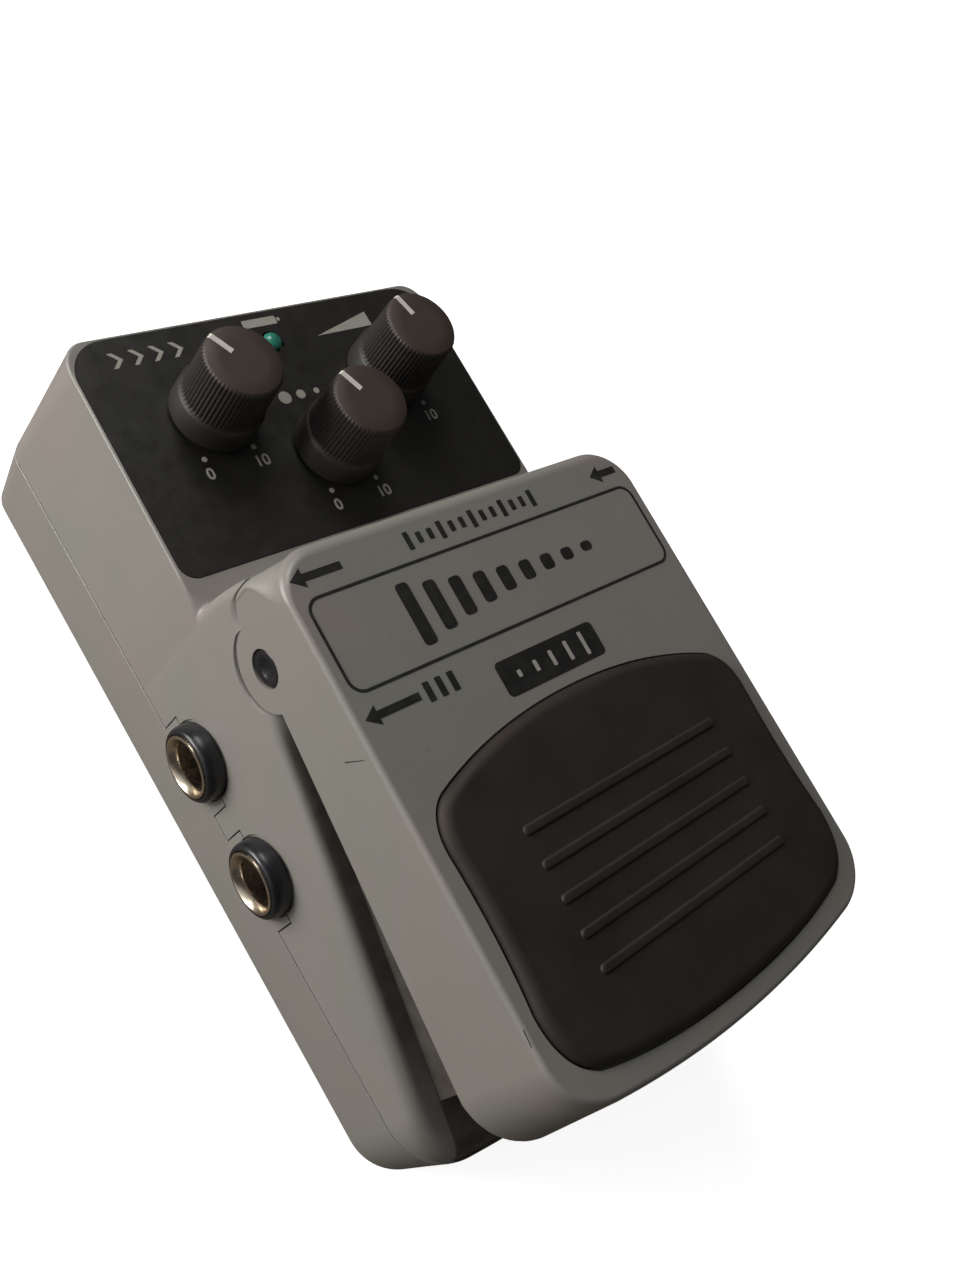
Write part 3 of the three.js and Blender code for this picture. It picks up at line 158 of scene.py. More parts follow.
class PedalDeck(bpy.types.PropertyGroup):
    panel_half: size("Panel half width", "Half the width of the panel", 31.95)
    panel_back: size("Panel back", "How far back the panel reaches", 60.4)
    panel_back_corner: size("Panel rear corner", "Rear corner radius of the panel", 6)
    panel_front_corner: size("Panel front corner", "Front corner radius of the panel", 2.4)
    knob_height: size("Knob height", "Height of a knob", 13.3)
    knob_skirt: size("Knob skirt", "Radius of a knob's smooth base", 6.5)
    knob_top: size("Knob top", "Radius of a knob under its face", 5.75)
    flutes: IntProperty(name="Flutes", description="Fine flutes round a knob", default=60, min=8)


class PedalFinish(bpy.types.PropertyGroup):
    case_grey: colour("Case", "Grey of the moulded shells", "#8a8782")
    panel_black: colour("Panel", "Black of the printed panel", "#1d1c1a")
    knob_black: colour("Knobs", "Black of the knobs", "#1e1b19")
    pointer_white: colour("Pointers", "White of the knobs' pointers", "#e2ded6")
    pad_rubber: colour("Pad", "Brown black of the rubber pad", "#241f1b")
    ink_white: colour("Light ink", "Light marks on the panel", "#a8a49c")
    ink_black: colour("Dark ink", "Dark marks on the treadle", "#1b1a19")
    lens_green: colour("Lens", "Green of the lens", "#2f7a66")


# Meshes
def link(obj):
    bpy.context.scene.collection.objects.link(obj)
    return obj


def solid(name, points, faces):
    """A closed mesh whose faces point out."""
    data = bpy.data.meshes.new(name)
    data.from_pydata([tuple(p) for p in points], [], faces)
    mesh = bmesh.new()
    mesh.from_mesh(data)
    bmesh.ops.recalc_face_normals(mesh, faces=mesh.faces)
    mesh.to_mesh(data)
    mesh.free()
    return link(bpy.data.objects.new(name, data))


def loft(name, rings):
    """Joins closed rings of equal length and caps the two ends. Each ring starts on the middle line
    at the back and is symmetrical, so a cap is a row of strips from side to side."""
    count = len(rings[0])
    faces = []
    for k in range(len(rings) - 1):
        low, high = k * count, (k + 1) * count
        for j in range(count):
            n = (j + 1) % count
            faces.append((low + j, high + j, high + n, low + n))
    for first in (0, (len(rings) - 1) * count):
        for i in range(count // 2):
            strip = [first + i, first + i + 1, first + (count - i - 1) % count,
                     first + (count - i) % count]
            faces.append(tuple(dict.fromkeys(strip)))
    return solid(name, [p for ring in rings for p in ring], faces)


def spun(name, profile, sides, matrix=Matrix.Identity(4)):
    """Turns a profile of (radius, height) points about Z. One that doesn't close on itself starts
    and ends on the axis."""
    rings, faces = [], []
    points = []
    for radius, height in profile:
        if radius < 1e-9:
            rings.append([len(points)] * sides)
            points.append(Vector((0, 0, height)))
            continue
        rings.append([len(points) + k for k in range(sides)])
        for k in range(sides):
            a = math.tau * k / sides
            points.append(Vector((radius * math.cos(a), radius * math.sin(a), height)))
    closed = profile[0][0] > 1e-9
    pairs = list(zip(rings, rings[1:])) + ([(rings[-1], rings[0])] if closed else [])
    for low, high in pairs:
        for k in range(sides):
            n = (k + 1) % sides
            face = tuple(dict.fromkeys((low[k], low[n], high[n], high[k])))
            if len(face) > 2:
                faces.append(face)
    return solid(name, [matrix @ p for p in points], faces)


def along_x(x, y, z, side=1):
    """Places a form made about Z so that its axis points along X, out of the given side."""
    return Matrix.Translation((x, y, z)) @ Matrix.Rotation(side * math.pi / 2, 4, "Y")


def rod(axis, radius, start, end, a, b, sides=40):
    """A rod along X, Y or Z between two stations. The other two coordinates are a and b."""
    turns = {
        "X": Matrix.Translation((0, a, b)) @ Matrix.Rotation(math.pi / 2, 4, "Y"),
        "Y": Matrix.Translation((a, 0, b)) @ Matrix.Rotation(-math.pi / 2, 4, "X"),
        "Z": Matrix.Translation((a, b, 0)),
    }
    return spun("rod", [(0, start), (radius, start), (radius, end), (0, end)], sides, turns[axis])


def block(x0, x1, y0, y1, z0, z1):
    corners = [(x, y, z) for z in (z0, z1) for y in (y0, y1) for x in (x0, x1)]
    return solid("block", corners, [(0, 1, 3, 2), (4, 5, 7, 6), (0, 1, 5, 4), (2, 3, 7, 6),
                                    (0, 2, 6, 4), (1, 3, 7, 5)])


def tube(name, rings):
    """Joins closed rings of equal length and caps each end with one face."""
    count = len(rings[0])
    points = [p for one in rings for p in one]
    faces = [tuple(range(count)), tuple(range(len(points) - count, len(points)))]
    for k in range(len(rings) - 1):
        for j in range(count):
            n = (j + 1) % count
            faces.append((k * count + j, k * count + n, (k + 1) * count + n, (k + 1) * count + j))
    return solid(name, points, faces)


def prism(outline, low, high, place):
    """A prism over a closed outline. The function place turns (a, b, height) to a point."""
    return tube("prism", [[place(a, b, height) for a, b in outline] for height in (low, high)])


def side_slab(outline, x0, x1):
    """A slab between two stations in X. Its outline is seen from the side, in Y and Z."""
    return prism(outline, x0, x1, lambda y, z, x: (x, y, z))


def plan_slab(outline, z0, z1):
    return prism(outline, z0, z1, lambda x, y, z: (x, y, z))


def arc(x, y, radius, start, end, steps):
    angles = [start + (end - start) * k / steps for k in range(steps + 1)]
    return [(x + radius * math.cos(a), y + radius * math.sin(a)) for a in angles]


def rounded(x0, x1, y0, y1, front, back, steps=10):
    """A rectangle with one radius at its two front corners and one at its two back corners."""
    turn = math.pi / 2
    return [
        *arc(x1 - front, y0 + front, front, -turn, 0, steps),
        *arc(x1 - back, y1 - back, back, 0, turn, steps),
        *arc(x0 + back, y1 - back, back, turn, 2 * turn, steps),
        *arc(x0 + front, y0 + front, front, 2 * turn, 3 * turn, steps),
    ]


def combined(obj, joined=(), cut=()):
    """Joins some solids to an object, cuts others out of it, and removes them."""
    for others, operation in ((joined, "UNION"), (cut, "DIFFERENCE")):
        for other in others:
            modifier = obj.modifiers.new("Form", "BOOLEAN")
            modifier.object = other
            modifier.operation = operation
            modifier.solver = "MANIFOLD"
    settle(obj)
    for other in (*joined, *cut):
        bpy.data.objects.remove(other)
    return obj


def settle(obj):
    """Turns an object's modifiers into its mesh."""
    graph = bpy.context.evaluated_depsgraph_get()
    data = bpy.data.meshes.new_from_object(obj.evaluated_get(graph))
    obj.modifiers.clear()
    obj.data = data


def shared_part(first, second):
    """Keeps what two solids share."""
    modifier = first.modifiers.new("Form", "BOOLEAN")
    modifier.object = second
    modifier.operation = "INTERSECT"
    modifier.solver = "MANIFOLD"
    settle(first)
    bpy.data.objects.remove(second)
    return first


def moved(obj, matrix):
    obj.data.transform(matrix)
    return obj


def smooth(obj, degrees=32):
    """Shades an object smoothly, apart from edges that turn by more than these degrees."""
    obj.data.shade_smooth()
    obj.data.set_sharp_from_angle(angle=math.radians(degrees))
    normals = obj.modifiers.new("Even shading", "WEIGHTED_NORMAL")
    normals.keep_sharp = True
    normals.weight = 80
    return obj


def finish(obj, name, material, body, nodes=()):
    """Names a piece, gives it its material and slot, and lets it ride on its body."""
    obj.name = name
    obj.data.name = name
    obj.data.materials.clear()
    obj.data.materials.append(material)
    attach(obj, body)
    if nodes:
        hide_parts(*nodes)
    return obj


# Plan outlines of the case and the treadle
def plan(half, back, front, bulge, rear, corner, stations=(), steps=14):
    """The right half of an outline, from the middle of the back to the middle of the front, as
    points with their outward direction. The front is one wide arc."""
    points = [(0, back, 0, 1)]
    for k in range(steps + 1):
        a = math.pi / 2 * (1 - k / steps)
        nx, ny = math.cos(a), math.sin(a)
        points.append((half - rear + rear * nx, back - rear + rear * ny, nx, ny))
    sweep = (half * half + bulge * bulge) / (2 * bulge)
    sweep_y = sweep - front
    corner_x = half - corner
    corner_y = sweep_y - math.sqrt((sweep - corner) ** 2 - corner_x ** 2)
    points += [(half, y, 1, 0) for y in stations]
    turn = math.atan2(corner_y - sweep_y, corner_x)
    for k in range(steps + 1):
        a = turn * k / steps
        nx, ny = math.cos(a), math.sin(a)
        points.append((corner_x + corner * nx, corner_y + corner * ny, nx, ny))
    for k in range(1, steps + 1):
        a = turn - (math.pi / 2 + turn) * k / steps
        nx = math.cos(a) if k < steps else 0
        ny = math.sin(a)
        points.append((sweep * nx, sweep_y + sweep * ny, nx, ny))
    return points


def mirrored(right):
    return right + [(-x, y, z) for x, y, z in reversed(right[1:-1])]


def ring(outline, inset, height):
    """A closed ring: the outline moved inward by inset(x, y, nx, ny), at height(x, y)."""
    right = []
    for x, y, nx, ny in outline:
        d = inset(x, y, nx, ny)
        right.append((x - nx * d, y - ny * d, height(x - nx * d, y - ny * d)))
    return mirrored(right)


def blend_share(low, high, value):
    """Rises smoothly from 0 at low to 1 at high."""
    t = min(1, max(0, (value - low) / (high - low)))
    return t * t * (3 - 2 * t)


# Heights of the case, from back to front
ledge_y = 1.7 * MM
ledge_slope = 0.34
ledge_height = HINGE.z - 4 * MM
ridge_height = UPPER_HIGH.z
tail_radius = 4.5 * MM
tail_gap = 0.6 * MM
tail_y = TREADLE_HIGH.y - tail_radius
ridge_front_y = TREADLE_HIGH.y + tail_gap
ridge_depth = 2.2 * MM
ridge_rear_y = ridge_front_y + ridge_depth
ridge_crest = 0.3 * MM
deck_roof = 2.4 * MM
rim_blend = 1.2 * MM
seam_edge = 0.08 * MM


def deck_z(y):
    return DECK_POINT.z + DECK_SLOPE * (y - DECK_POINT.y)


def ledge_z(y):
    return ledge_height + ledge_slope * (y - ledge_y)


def ridge_face():
    """The back of the ridge, seen from the side: a small fillet from the deck, then one long curve
    to the crest."""
    deck = deck_z(ridge_rear_y)
    foot = (ridge_rear_y, deck + 0.6 * MM)
    fillet = interpolate_bezier(
        (ridge_rear_y + 0.9 * MM, deck_z(ridge_rear_y + 0.9 * MM)),
        (ridge_rear_y + 0.3 * MM, deck), (ridge_rear_y + 0.03 * MM, deck + 0.2 * MM), foot, 7)
    face = interpolate_bezier(
        foot, (ridge_rear_y - 0.1 * MM, deck + 3.7 * MM),
        (ridge_rear_y - 0.7 * MM, deck + 6.8 * MM),
        (ridge_front_y + ridge_crest, ridge_height), 22)
    return [tuple(p) for p in fillet[:-1] + face]


def tail_arc(radius, steps):
    """The treadle's lower rear edge, or the hollow that it turns in, seen from the side."""
    return arc(tail_y, ridge_height, radius, 0, -math.pi / 2, steps)


def hollow_z(y):
    """Height of the case in front of the ridge's crest."""
    reach = tail_radius + tail_gap
    if y <= ledge_y:
        return ledge_z(y)
    if y <= tail_y:
        floor = ridge_height - reach
        return ledge_height + (floor - ledge_height) * (y - ledge_y) / (tail_y - ledge_y)
    return ridge_height - math.sqrt(max(0, reach ** 2 - (y - tail_y) ** 2))


def case_lean(case, z, ny=0):
    """How far the wall that faces ny to the back leans in at a height. The rear wall stands nearly
    upright."""
    lean = case.lean + (case.rear_lean - case.lean) * max(0, ny) ** 2
    return lean * max(0, z - case.parting)


def case_rim(case, y):
    """Radius of the case's upper rim, which grows from the deck's to the ledge's at the ridge."""
    share_forward = blend_share(ridge_rear_y + rim_blend, ridge_rear_y - rim_blend, y)
    return case.deck_edge + (case.ledge_edge - case.deck_edge) * share_forward


def case_plan(case, inset, stations=(), steps=14, rear=None):
    return plan(CASE_HIGH.x - inset, CASE_HIGH.y - inset, -CASE_LOW.y - inset, case.bulge,
                (rear or case.rear_corner) - inset, case.front_corner - inset, stations, steps)


def upper_form(case):
    """The outside of the upper case. The stations of the ridge's rear face shift forward near the
    sides, so that its upright corners are round."""
    def shift(depth):
        left = max(0, case.shoulder - depth)
        return case.shoulder - math.sqrt(case.shoulder ** 2 - left ** 2)

    def on_deck(y):
        return lambda depth: (y, deck_z(y))

    def on_face(y, z):
        def at(depth):
            y1 = y - shift(depth)
            return y1, min(z, hollow_z(y1)) if y1 < ridge_front_y else z
        return at

    def on_arc(part):
        def at(depth):
            crest = ridge_front_y - shift(depth)
            y = crest + (tail_y - crest) * part
            return y, hollow_z(y)
        return at

    def on_ledge(y):
        return lambda depth: (y, hollow_z(y))

    steps = 18
    sides = [on_deck(y * MM) for y in (50, 35, 25, 22)]
    sides += [on_face(y, z) for y, z in ridge_face()]
    sides += [on_arc(k / steps) for k in range(steps + 1)]
    sides += [on_ledge(tail_y + (ledge_y - tail_y) * k / 5) for k in range(1, 6)]
    sides += [on_ledge(-y * MM) for y in (6, 16, 27, 38, 46)]
    outline = case_plan(case, 0, range(len(sides)), steps)
    top_outline = case_plan(case, 0, range(len(sides)), steps, case.deck_corner)
    first = steps + 2

    def side_of(k):
        return sides[k - first] if 0 <= k - first < len(sides) else None

    def wall_ring(depth, z):
        right = []
        for k, (x, y, nx, ny) in enumerate(outline):
            side = side_of(k)
            y = side(0)[0] if side else y - ny * depth
            right.append((x - nx * depth, y, z))
        return mirrored(right)

    def rim_ring(depth_of, drop_of):
        right = []
        for k, (x, y, nx, ny) in enumerate(top_outline):
            side = side_of(k)
            if side:
                radius = case_rim(case, side(0)[0])
                y, top = side(depth_of(radius))
                x -= case_lean(case, top) + depth_of(radius)
            else:
                radius = case_rim(case, y)
                top_at = deck_z if y > 0 else ledge_z
                inset = case_lean(case, top_at(y), ny) + depth_of(radius)
                x, y = x - nx * inset, y - ny * inset
                top = top_at(y)
            right.append((x, y, top - drop_of(radius)))
        return mirrored(right)

    groove_top = case.parting + case.groove_width
    rings = [wall_ring(case.groove, case.parting), wall_ring(case.groove, groove_top),
             wall_ring(seam_edge, groove_top), wall_ring(0, groove_top + seam_edge)]
    for k in range(9):
        up, out = math.sin(math.pi / 16 * k), math.cos(math.pi / 16 * k)
        rings.append(rim_ring(lambda r: r * (1 - out), lambda r: r * (1 - up)))
    for extra in (0.4 * MM, 0.9 * MM):
        rings.append(rim_ring(lambda r: r + extra, lambda r: 0))
    return loft("upper_form", rings)


# Places inside the case
block_half = 28.9 * MM
block_front = 50.5 * MM
block_back_height = ledge_height + 1.3 * MM
block_drop = 4.1 * MM
block_wall = 2 * MM
well_floor = 1.6 * MM
battery_floor = BATTERY_LOW.z - 0.3 * MM
battery_well_back = 21.2 * MM
switch_floor = SWITCH_LOW.z - 0.3 * MM
switch_well_front = 19.2 * MM
switch_well_back = 1.6 * MM
slip = 0.3 * MM
seam = 0.22 * MM
over = 4 * MM
weld = 1 * MM
lug_radius = 4.6 * MM
lug_inner_x = 12.6 * MM
lug_outer_x = 28.9 * MM
pin_bore = 3.05 * MM
pin_bore_end_x = 14.6 * MM
ear_bore = 2.7 * MM
jack_z = middle(*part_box("jack_nut_output")).z
nut_radius = 5.65 * MM
nut_seat_x = 34 * MM
sleeve_radius = 4.6 * MM
jack_body_outer_x = 31.1 * MM
jack_body_inner_x = 10.2 * MM
tongue_half = 7 * MM
tongue_inset = 0.4 * MM
tongue_height = CASE_HIGH.z
floor_top = CASE_LOW.z + 2.2 * MM
boss_foot = 10 * MM
boss_radius = 3.1 * MM
lower_boss_radius = 3.6 * MM
board_post_radius = 2.6 * MM
screw_hole = 1.5 * MM
board_hole_depth = 5 * MM
head_hole = 3.1 * MM
head_depth = 2.4 * MM
foot_seat_radius = 6.8 * MM
foot_seat_depth = 0.8 * MM
inlet_radius = 4.6 * MM
inlet_depth = 12 * MM
stop_half = 11 * MM
stop_depth = 1 * MM
spring_seat_radius = 3.4 * MM
spring_seat_height = 2.6 * MM
press_post_radius = 2.6 * MM


def jack_places():
    """The outward side and the centre of each jack."""
    for name in JACK_NAMES:
        centre = middle(*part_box(f"jack_nut_{name}"))
        yield name, math.copysign(1, centre.x), centre.y


def span(side, near, far):
    return (near, far) if side > 0 else (-far, -near)


def case_hollow(case):
    """The room under the deck and under the switch well."""
    inside = case_plan(case, case.wall)
    top = deck_z(ridge_rear_y) - deck_roof
    body = loft("hollow", [
        ring(inside, lambda *p: 0, lambda x, y: floor_top),
        ring(inside, lambda *p: 0, lambda x, y: case.parting),
        ring(inside, lambda x, y, nx, ny: case_lean(case, deck_z(ridge_rear_y), ny),
             lambda x, y: deck_z(0) + over),
    ])
    far, wide = CASE_HIGH.y + over, CASE_HIGH.x + over
    well_front = -battery_well_back + well_floor
    room = side_slab([
        (well_front, 0), (far, 0), (far, deck_z(far) - deck_roof), (ridge_rear_y, top),
        (-switch_well_back, top), (-switch_well_back, switch_floor - well_floor),
        (well_front, switch_floor - well_floor)], -wide, wide)
    return shared_part(body, room)


def front_room(case):
    """The room under the ledge, in front of the battery well and beside it."""
    lean = case_lean(case, ledge_z(-battery_well_back))
    inside = case_plan(case, case.wall)
    body = loft("front_room", [
        ring(inside, lambda *p: 0, lambda x, y: floor_top),
        ring(inside, lambda *p: 0, lambda x, y: case.parting),
        ring(inside, lambda *p: lean, lambda x, y: ledge_height),
    ])
    wide = CASE_HIGH.x + over
    far, near = CASE_LOW.y - over, -battery_well_back + well_floor
    roof = side_slab([(far, 0), (near, 0), (near, ledge_z(near) - deck_roof),
                      (far, ledge_z(far) - deck_roof)], -wide, wide)
    core = block(-block_half, block_half, -block_front, near + over, battery_floor - well_floor,
                 block_back_height)
    return combined(shared_part(body, roof), cut=[core])


def ear_notch(case, treadle, side):
    """A round notch in a side wall whose mouth is softened along the leaning wall."""
    radius = treadle.ear_radius + case.ear_gap
    soft = case.notch_edge
    sides = 96

    def circle(r, x_of):
        points = []
        for k in range(sides):
            a = math.tau * k / sides
            y, z = HINGE.y + r * math.cos(a), HINGE.z + r * math.sin(a)
            points.append((side * x_of(z), y, z))
        return points

    def wall(z):
        return CASE_HIGH.x - case_lean(case, z)

    rings = [circle(radius, lambda z: lug_outer_x + slip / 3)]
    for k in range(5):
        a = math.pi / 2 * k / 4
        r = radius + soft * (1 - math.cos(a))
        rings.append(circle(r, lambda z: wall(z) - soft * (1 - math.sin(a))))
    rings.append(circle(radius + soft, lambda z: wall(z) + over))
    return tube("notch", rings)


def on_deck_frame():
    """The deck's own frame, whose origin is under the middle knob."""
    return Matrix.Translation(DECK_POINT) @ Matrix.Rotation(DECK_TILT, 4, "X")


def along_deck(y):
    return (y - DECK_POINT.y) / math.cos(DECK_TILT)


def knob_places():
    for name in KNOB_NAMES:
        pos = JOINTS[f"{name}_knob_turn"]["pos_m"]
        yield name, pos[0], along_deck(pos[1])


def panel_outline(deck, grow):
    half, back = deck.panel_half + grow, along_deck(deck.panel_back) + grow
    return rounded(-half, half, along_deck(PANEL_FRONT) - grow, back,
                   deck.panel_front_corner + grow, deck.panel_back_corner + grow)


lens_radius = 1.5 * MM
lens_hole = 1.8 * MM
lens_y = along_deck(55.1 * MM)
shaft_hole = 3.6 * MM
panel_thick = 0.6 * MM
panel_proud = 0.12 * MM
panel_gap = 0.08 * MM


def deck_cuts(deck):
    cuts = [plan_slab(panel_outline(deck, panel_gap), panel_proud - panel_thick - slip, over)]
    cuts += [rod("Z", shaft_hole, -2 * deck_roof, over, x, y) for _, x, y in knob_places()]
    cuts.append(rod("Z", lens_hole, -2 * deck_roof, over, 0, lens_y))
    return [moved(cut, on_deck_frame()) for cut in cuts]


def jack_cuts(case, slotted, body_cut):
    """Cuts for the jacks: the seats of sleeve and nut, with the slot that a tongue closes, or the
    room above a tongue's root."""
    cuts = []
    for _, side, y in jack_places():
        x0, x1 = span(side, jack_body_outer_x - slip, CASE_HIGH.x + over)
        n0, n1 = span(side, nut_seat_x, CASE_HIGH.x + over)
        if slotted:
            half = tongue_half + seam
            cuts.append(block(x0, x1, y - half, y + half, 0, tongue_height + seam))
        if body_cut:
            b0, b1 = span(side, jack_body_inner_x, jack_body_outer_x + slip)
            cuts.append(block(b0, b1, y - tongue_half, y + tongue_half, case.parting,
                              tongue_height + over))
            x0, x1 = span(side, jack_body_inner_x, CASE_HIGH.x + over)
        cuts.append(rod("X", sleeve_radius + slip, x0, x1, y, jack_z))
        cuts.append(rod("X", nut_radius + slip, n0, n1, y, jack_z, 64))
    return cuts


def inlet_cut():
    return rod("Y", inlet_radius, CASE_HIGH.y - inlet_depth, CASE_HIGH.y + over, 0, jack_z)


def centres(kind):
    """The middles of the four pieces of one kind."""
    return [middle(*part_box(f"{kind}_{number}")) for number in (1, 2, 3, 4)]


# Materials
def add_node(tree, kind, inputs=None, **settings):
    """Adds a shader node. Its inputs are named or numbered. One that is given a node or a socket is
    linked, and any other is set."""
    node = tree.nodes.new(kind)
    for name, value in settings.items():
        setattr(node, name, value)
    for name, value in (inputs or {}).items():
        socket = node.inputs[name] if isinstance(name, int) else next(
            s for s in node.inputs if s.enabled and s.name == name)
        if isinstance(value, bpy.types.Node):
            value = next(s for s in value.outputs if s.enabled)
        if isinstance(value, bpy.types.NodeSocket):
            tree.links.new(value, socket)
        else:
            socket.default_value = value
    return node


def per(millimetres):
    """A texture scale whose features are about this wide."""
    return 1 / (millimetres * MM)


def toned(rgb, *factors):
    """A colour for a shader, made lighter or darker by one factor or by one for each channel."""
    factors = factors * 3 if len(factors) == 1 else factors
    return (*[min(1, c * f) for c, f in zip(rgb, factors)], 1)


def material(name, inputs):
    """Makes a material once. inputs(tree, place) gives the inputs of its shader, and place is the
    piece's own coordinates in metres."""
    found = bpy.data.materials.get(name)
    if found:
        return found
    found = bpy.data.materials.new(name)
    found.use_nodes = True
    tree = found.node_tree
    tree.nodes.clear()
    place = add_node(tree, "ShaderNodeTexCoord").outputs["Object"]
    shader = add_node(tree, "ShaderNodeBsdfPrincipled", inputs(tree, place))
    add_node(tree, "ShaderNodeOutputMaterial", {"Surface": shader})
    return found


def painted_shade_under_treadle(tree, place, unshaded):
    """Painted shade: a patchy brown darkening of the ledge and the well's walls under the treadle,
    where the treadle's shadow falls.
    """
    shade_x, lit_x = 31.2 * MM, 32.3 * MM
    shade_y, lit_y = -1.5 * MM, 2.5 * MM
    pale_y, full_y = -58 * MM, -38 * MM
    sides = add_node(tree, "ShaderNodeSeparateXYZ", {"Vector": place})
    across = add_node(tree, "ShaderNodeMath", {0: sides.outputs["X"]}, operation="ABSOLUTE")
    inside = add_node(tree, "ShaderNodeMapRange", {
        "Value": across, "From Min": lit_x, "From Max": shade_x})
    before = add_node(tree, "ShaderNodeMapRange", {
        "Value": sides.outputs["Y"], "From Min": lit_y, "From Max": shade_y})
    fading = add_node(tree, "ShaderNodeMapRange", {
        "Value": sides.outputs["Y"], "From Min": pale_y, "From Max": full_y, "To Min": 0.1},
        interpolation_type="SMOOTHSTEP")
    well = add_node(tree, "ShaderNodeMapRange", {
        "Value": across, "From Min": block_half + 0.4 * MM, "From Max": block_half + 0.1 * MM})
    ledge = add_node(tree, "ShaderNodeMath", {0: inside, 1: fading}, operation="MULTIPLY")
    both = add_node(tree, "ShaderNodeMath", {0: ledge, 1: well}, operation="MAXIMUM")
    share = add_node(tree, "ShaderNodeMath", {0: both, 1: before}, operation="MULTIPLY")
    uneven = add_node(tree, "ShaderNodeTexNoise", {"Vector": place, "Scale": per(3), "Detail": 4})
    patchy = add_node(tree, "ShaderNodeMapRange", {
        "Value": uneven, "From Min": 0.3, "From Max": 0.7, "To Min": 0.8, "To Max": 1})
    painted_shade = add_node(tree, "ShaderNodeMath", {0: share, 1: patchy}, operation="MULTIPLY")
    # Painted shade, mixed over the plastic's own colour
    return add_node(tree, "ShaderNodeMix", {
        "Factor": painted_shade, "A": unshaded, "B": toned(linear("#46413c"), 1)}, data_type="RGBA")


def case_abs_with_painted_shade(tree, place):
    """The same plastic on the upper case, with painted shade on the ledge and the well's walls under
    the treadle.
    """
    return moulded_abs(tree, place, True)


def moulded_abs(tree, place, with_painted_shade=False):
    """Injection-moulded ABS. Its spark-eroded mould gives an even fine grain, and handling a faint
    cloudiness and a few dull spots."""
    rgb = bpy.context.scene.pedal_finish.case_grey
    clouds = add_node(tree, "ShaderNodeTexNoise", {"Vector": place, "Scale": per(17), "Detail": 2})
    cloud = add_node(tree, "ShaderNodeMapRange", {"Value": clouds, "From Min": 0.35, "From Max": 0.65})
    base = add_node(tree, "ShaderNodeMix", {
        "Factor": cloud, "A": toned(rgb, 1.03, 0.98, 0.98), "B": toned(rgb, 0.96, 0.99, 0.97)},
        data_type="RGBA")
    specks = add_node(tree, "ShaderNodeTexNoise", {"Vector": place, "Scale": per(0.9), "Detail": 4})
    speck = add_node(tree, "ShaderNodeMapRange", {"Value": specks, "From Min": 0.66, "From Max": 0.76})
    colour = add_node(tree, "ShaderNodeMix", {
        "Factor": speck, "A": base, "B": toned(rgb, 0.86)}, data_type="RGBA")
    # Painted shade under the treadle, only on the upper case
    if with_painted_shade:
        colour = painted_shade_under_treadle(tree, place, colour)
    rubbed = add_node(tree, "ShaderNodeTexNoise", {"Vector": place, "Scale": per(6)})
    gloss = add_node(tree, "ShaderNodeMapRange", {
        "Value": rubbed, "From Min": 0.3, "From Max": 0.7, "To Min": 0.32, "To Max": 0.44})
    grain = add_node(tree, "ShaderNodeTexNoise", {"Vector": place, "Scale": per(0.28)})
    bump = add_node(tree, "ShaderNodeBump", {"Height": grain, "Distance": 0.02 * MM, "Strength": 0.35})
    return {"Base Color": colour, "Roughness": gloss, "IOR": 1.53, "Normal": bump}


def printed_film(tree, place):
    """Printed polycarbonate film: a deep black under a clear satin surface, with dust on it and a
    haze where it was wiped."""
    rgb = bpy.context.scene.pedal_finish.panel_black
    hazes = add_node(tree, "ShaderNodeTexNoise", {"Vector": place, "Scale": per(14)})
    haze = add_node(tree, "ShaderNodeMapRange", {"Value": hazes, "From Min": 0.3, "From Max": 0.75})
    base = add_node(tree, "ShaderNodeMix", {
        "Factor": haze, "A": toned(rgb, 1), "B": toned(rgb, 1.35, 1.3, 1.1)}, data_type="RGBA")
    dusts = add_node(tree, "ShaderNodeTexNoise", {"Vector": place, "Scale": per(0.5), "Detail": 4})
    dust = add_node(tree, "ShaderNodeMapRange", {"Value": dusts, "From Min": 0.68, "From Max": 0.8})
    colour = add_node(tree, "ShaderNodeMix", {
        "Factor": dust, "A": base, "B": toned(rgb, 2.4)}, data_type="RGBA")
    wiped = add_node(tree, "ShaderNodeTexNoise", {
        "Vector": place, "Scale": per(3), "Detail": 5, "Roughness": 0.7})
    gloss = add_node(tree, "ShaderNodeMapRange", {
        "Value": wiped, "From Min": 0.3, "From Max": 0.7, "To Min": 0.3, "To Max": 0.46})
    grain = add_node(tree, "ShaderNodeTexNoise", {"Vector": place, "Scale": per(0.2)})
    bump = add_node(tree, "ShaderNodeBump", {"Height": grain, "Distance": 0.01 * MM, "Strength": 0.3})
    return {"Base Color": colour, "Roughness": gloss, "IOR": 1.58, "Normal": bump}


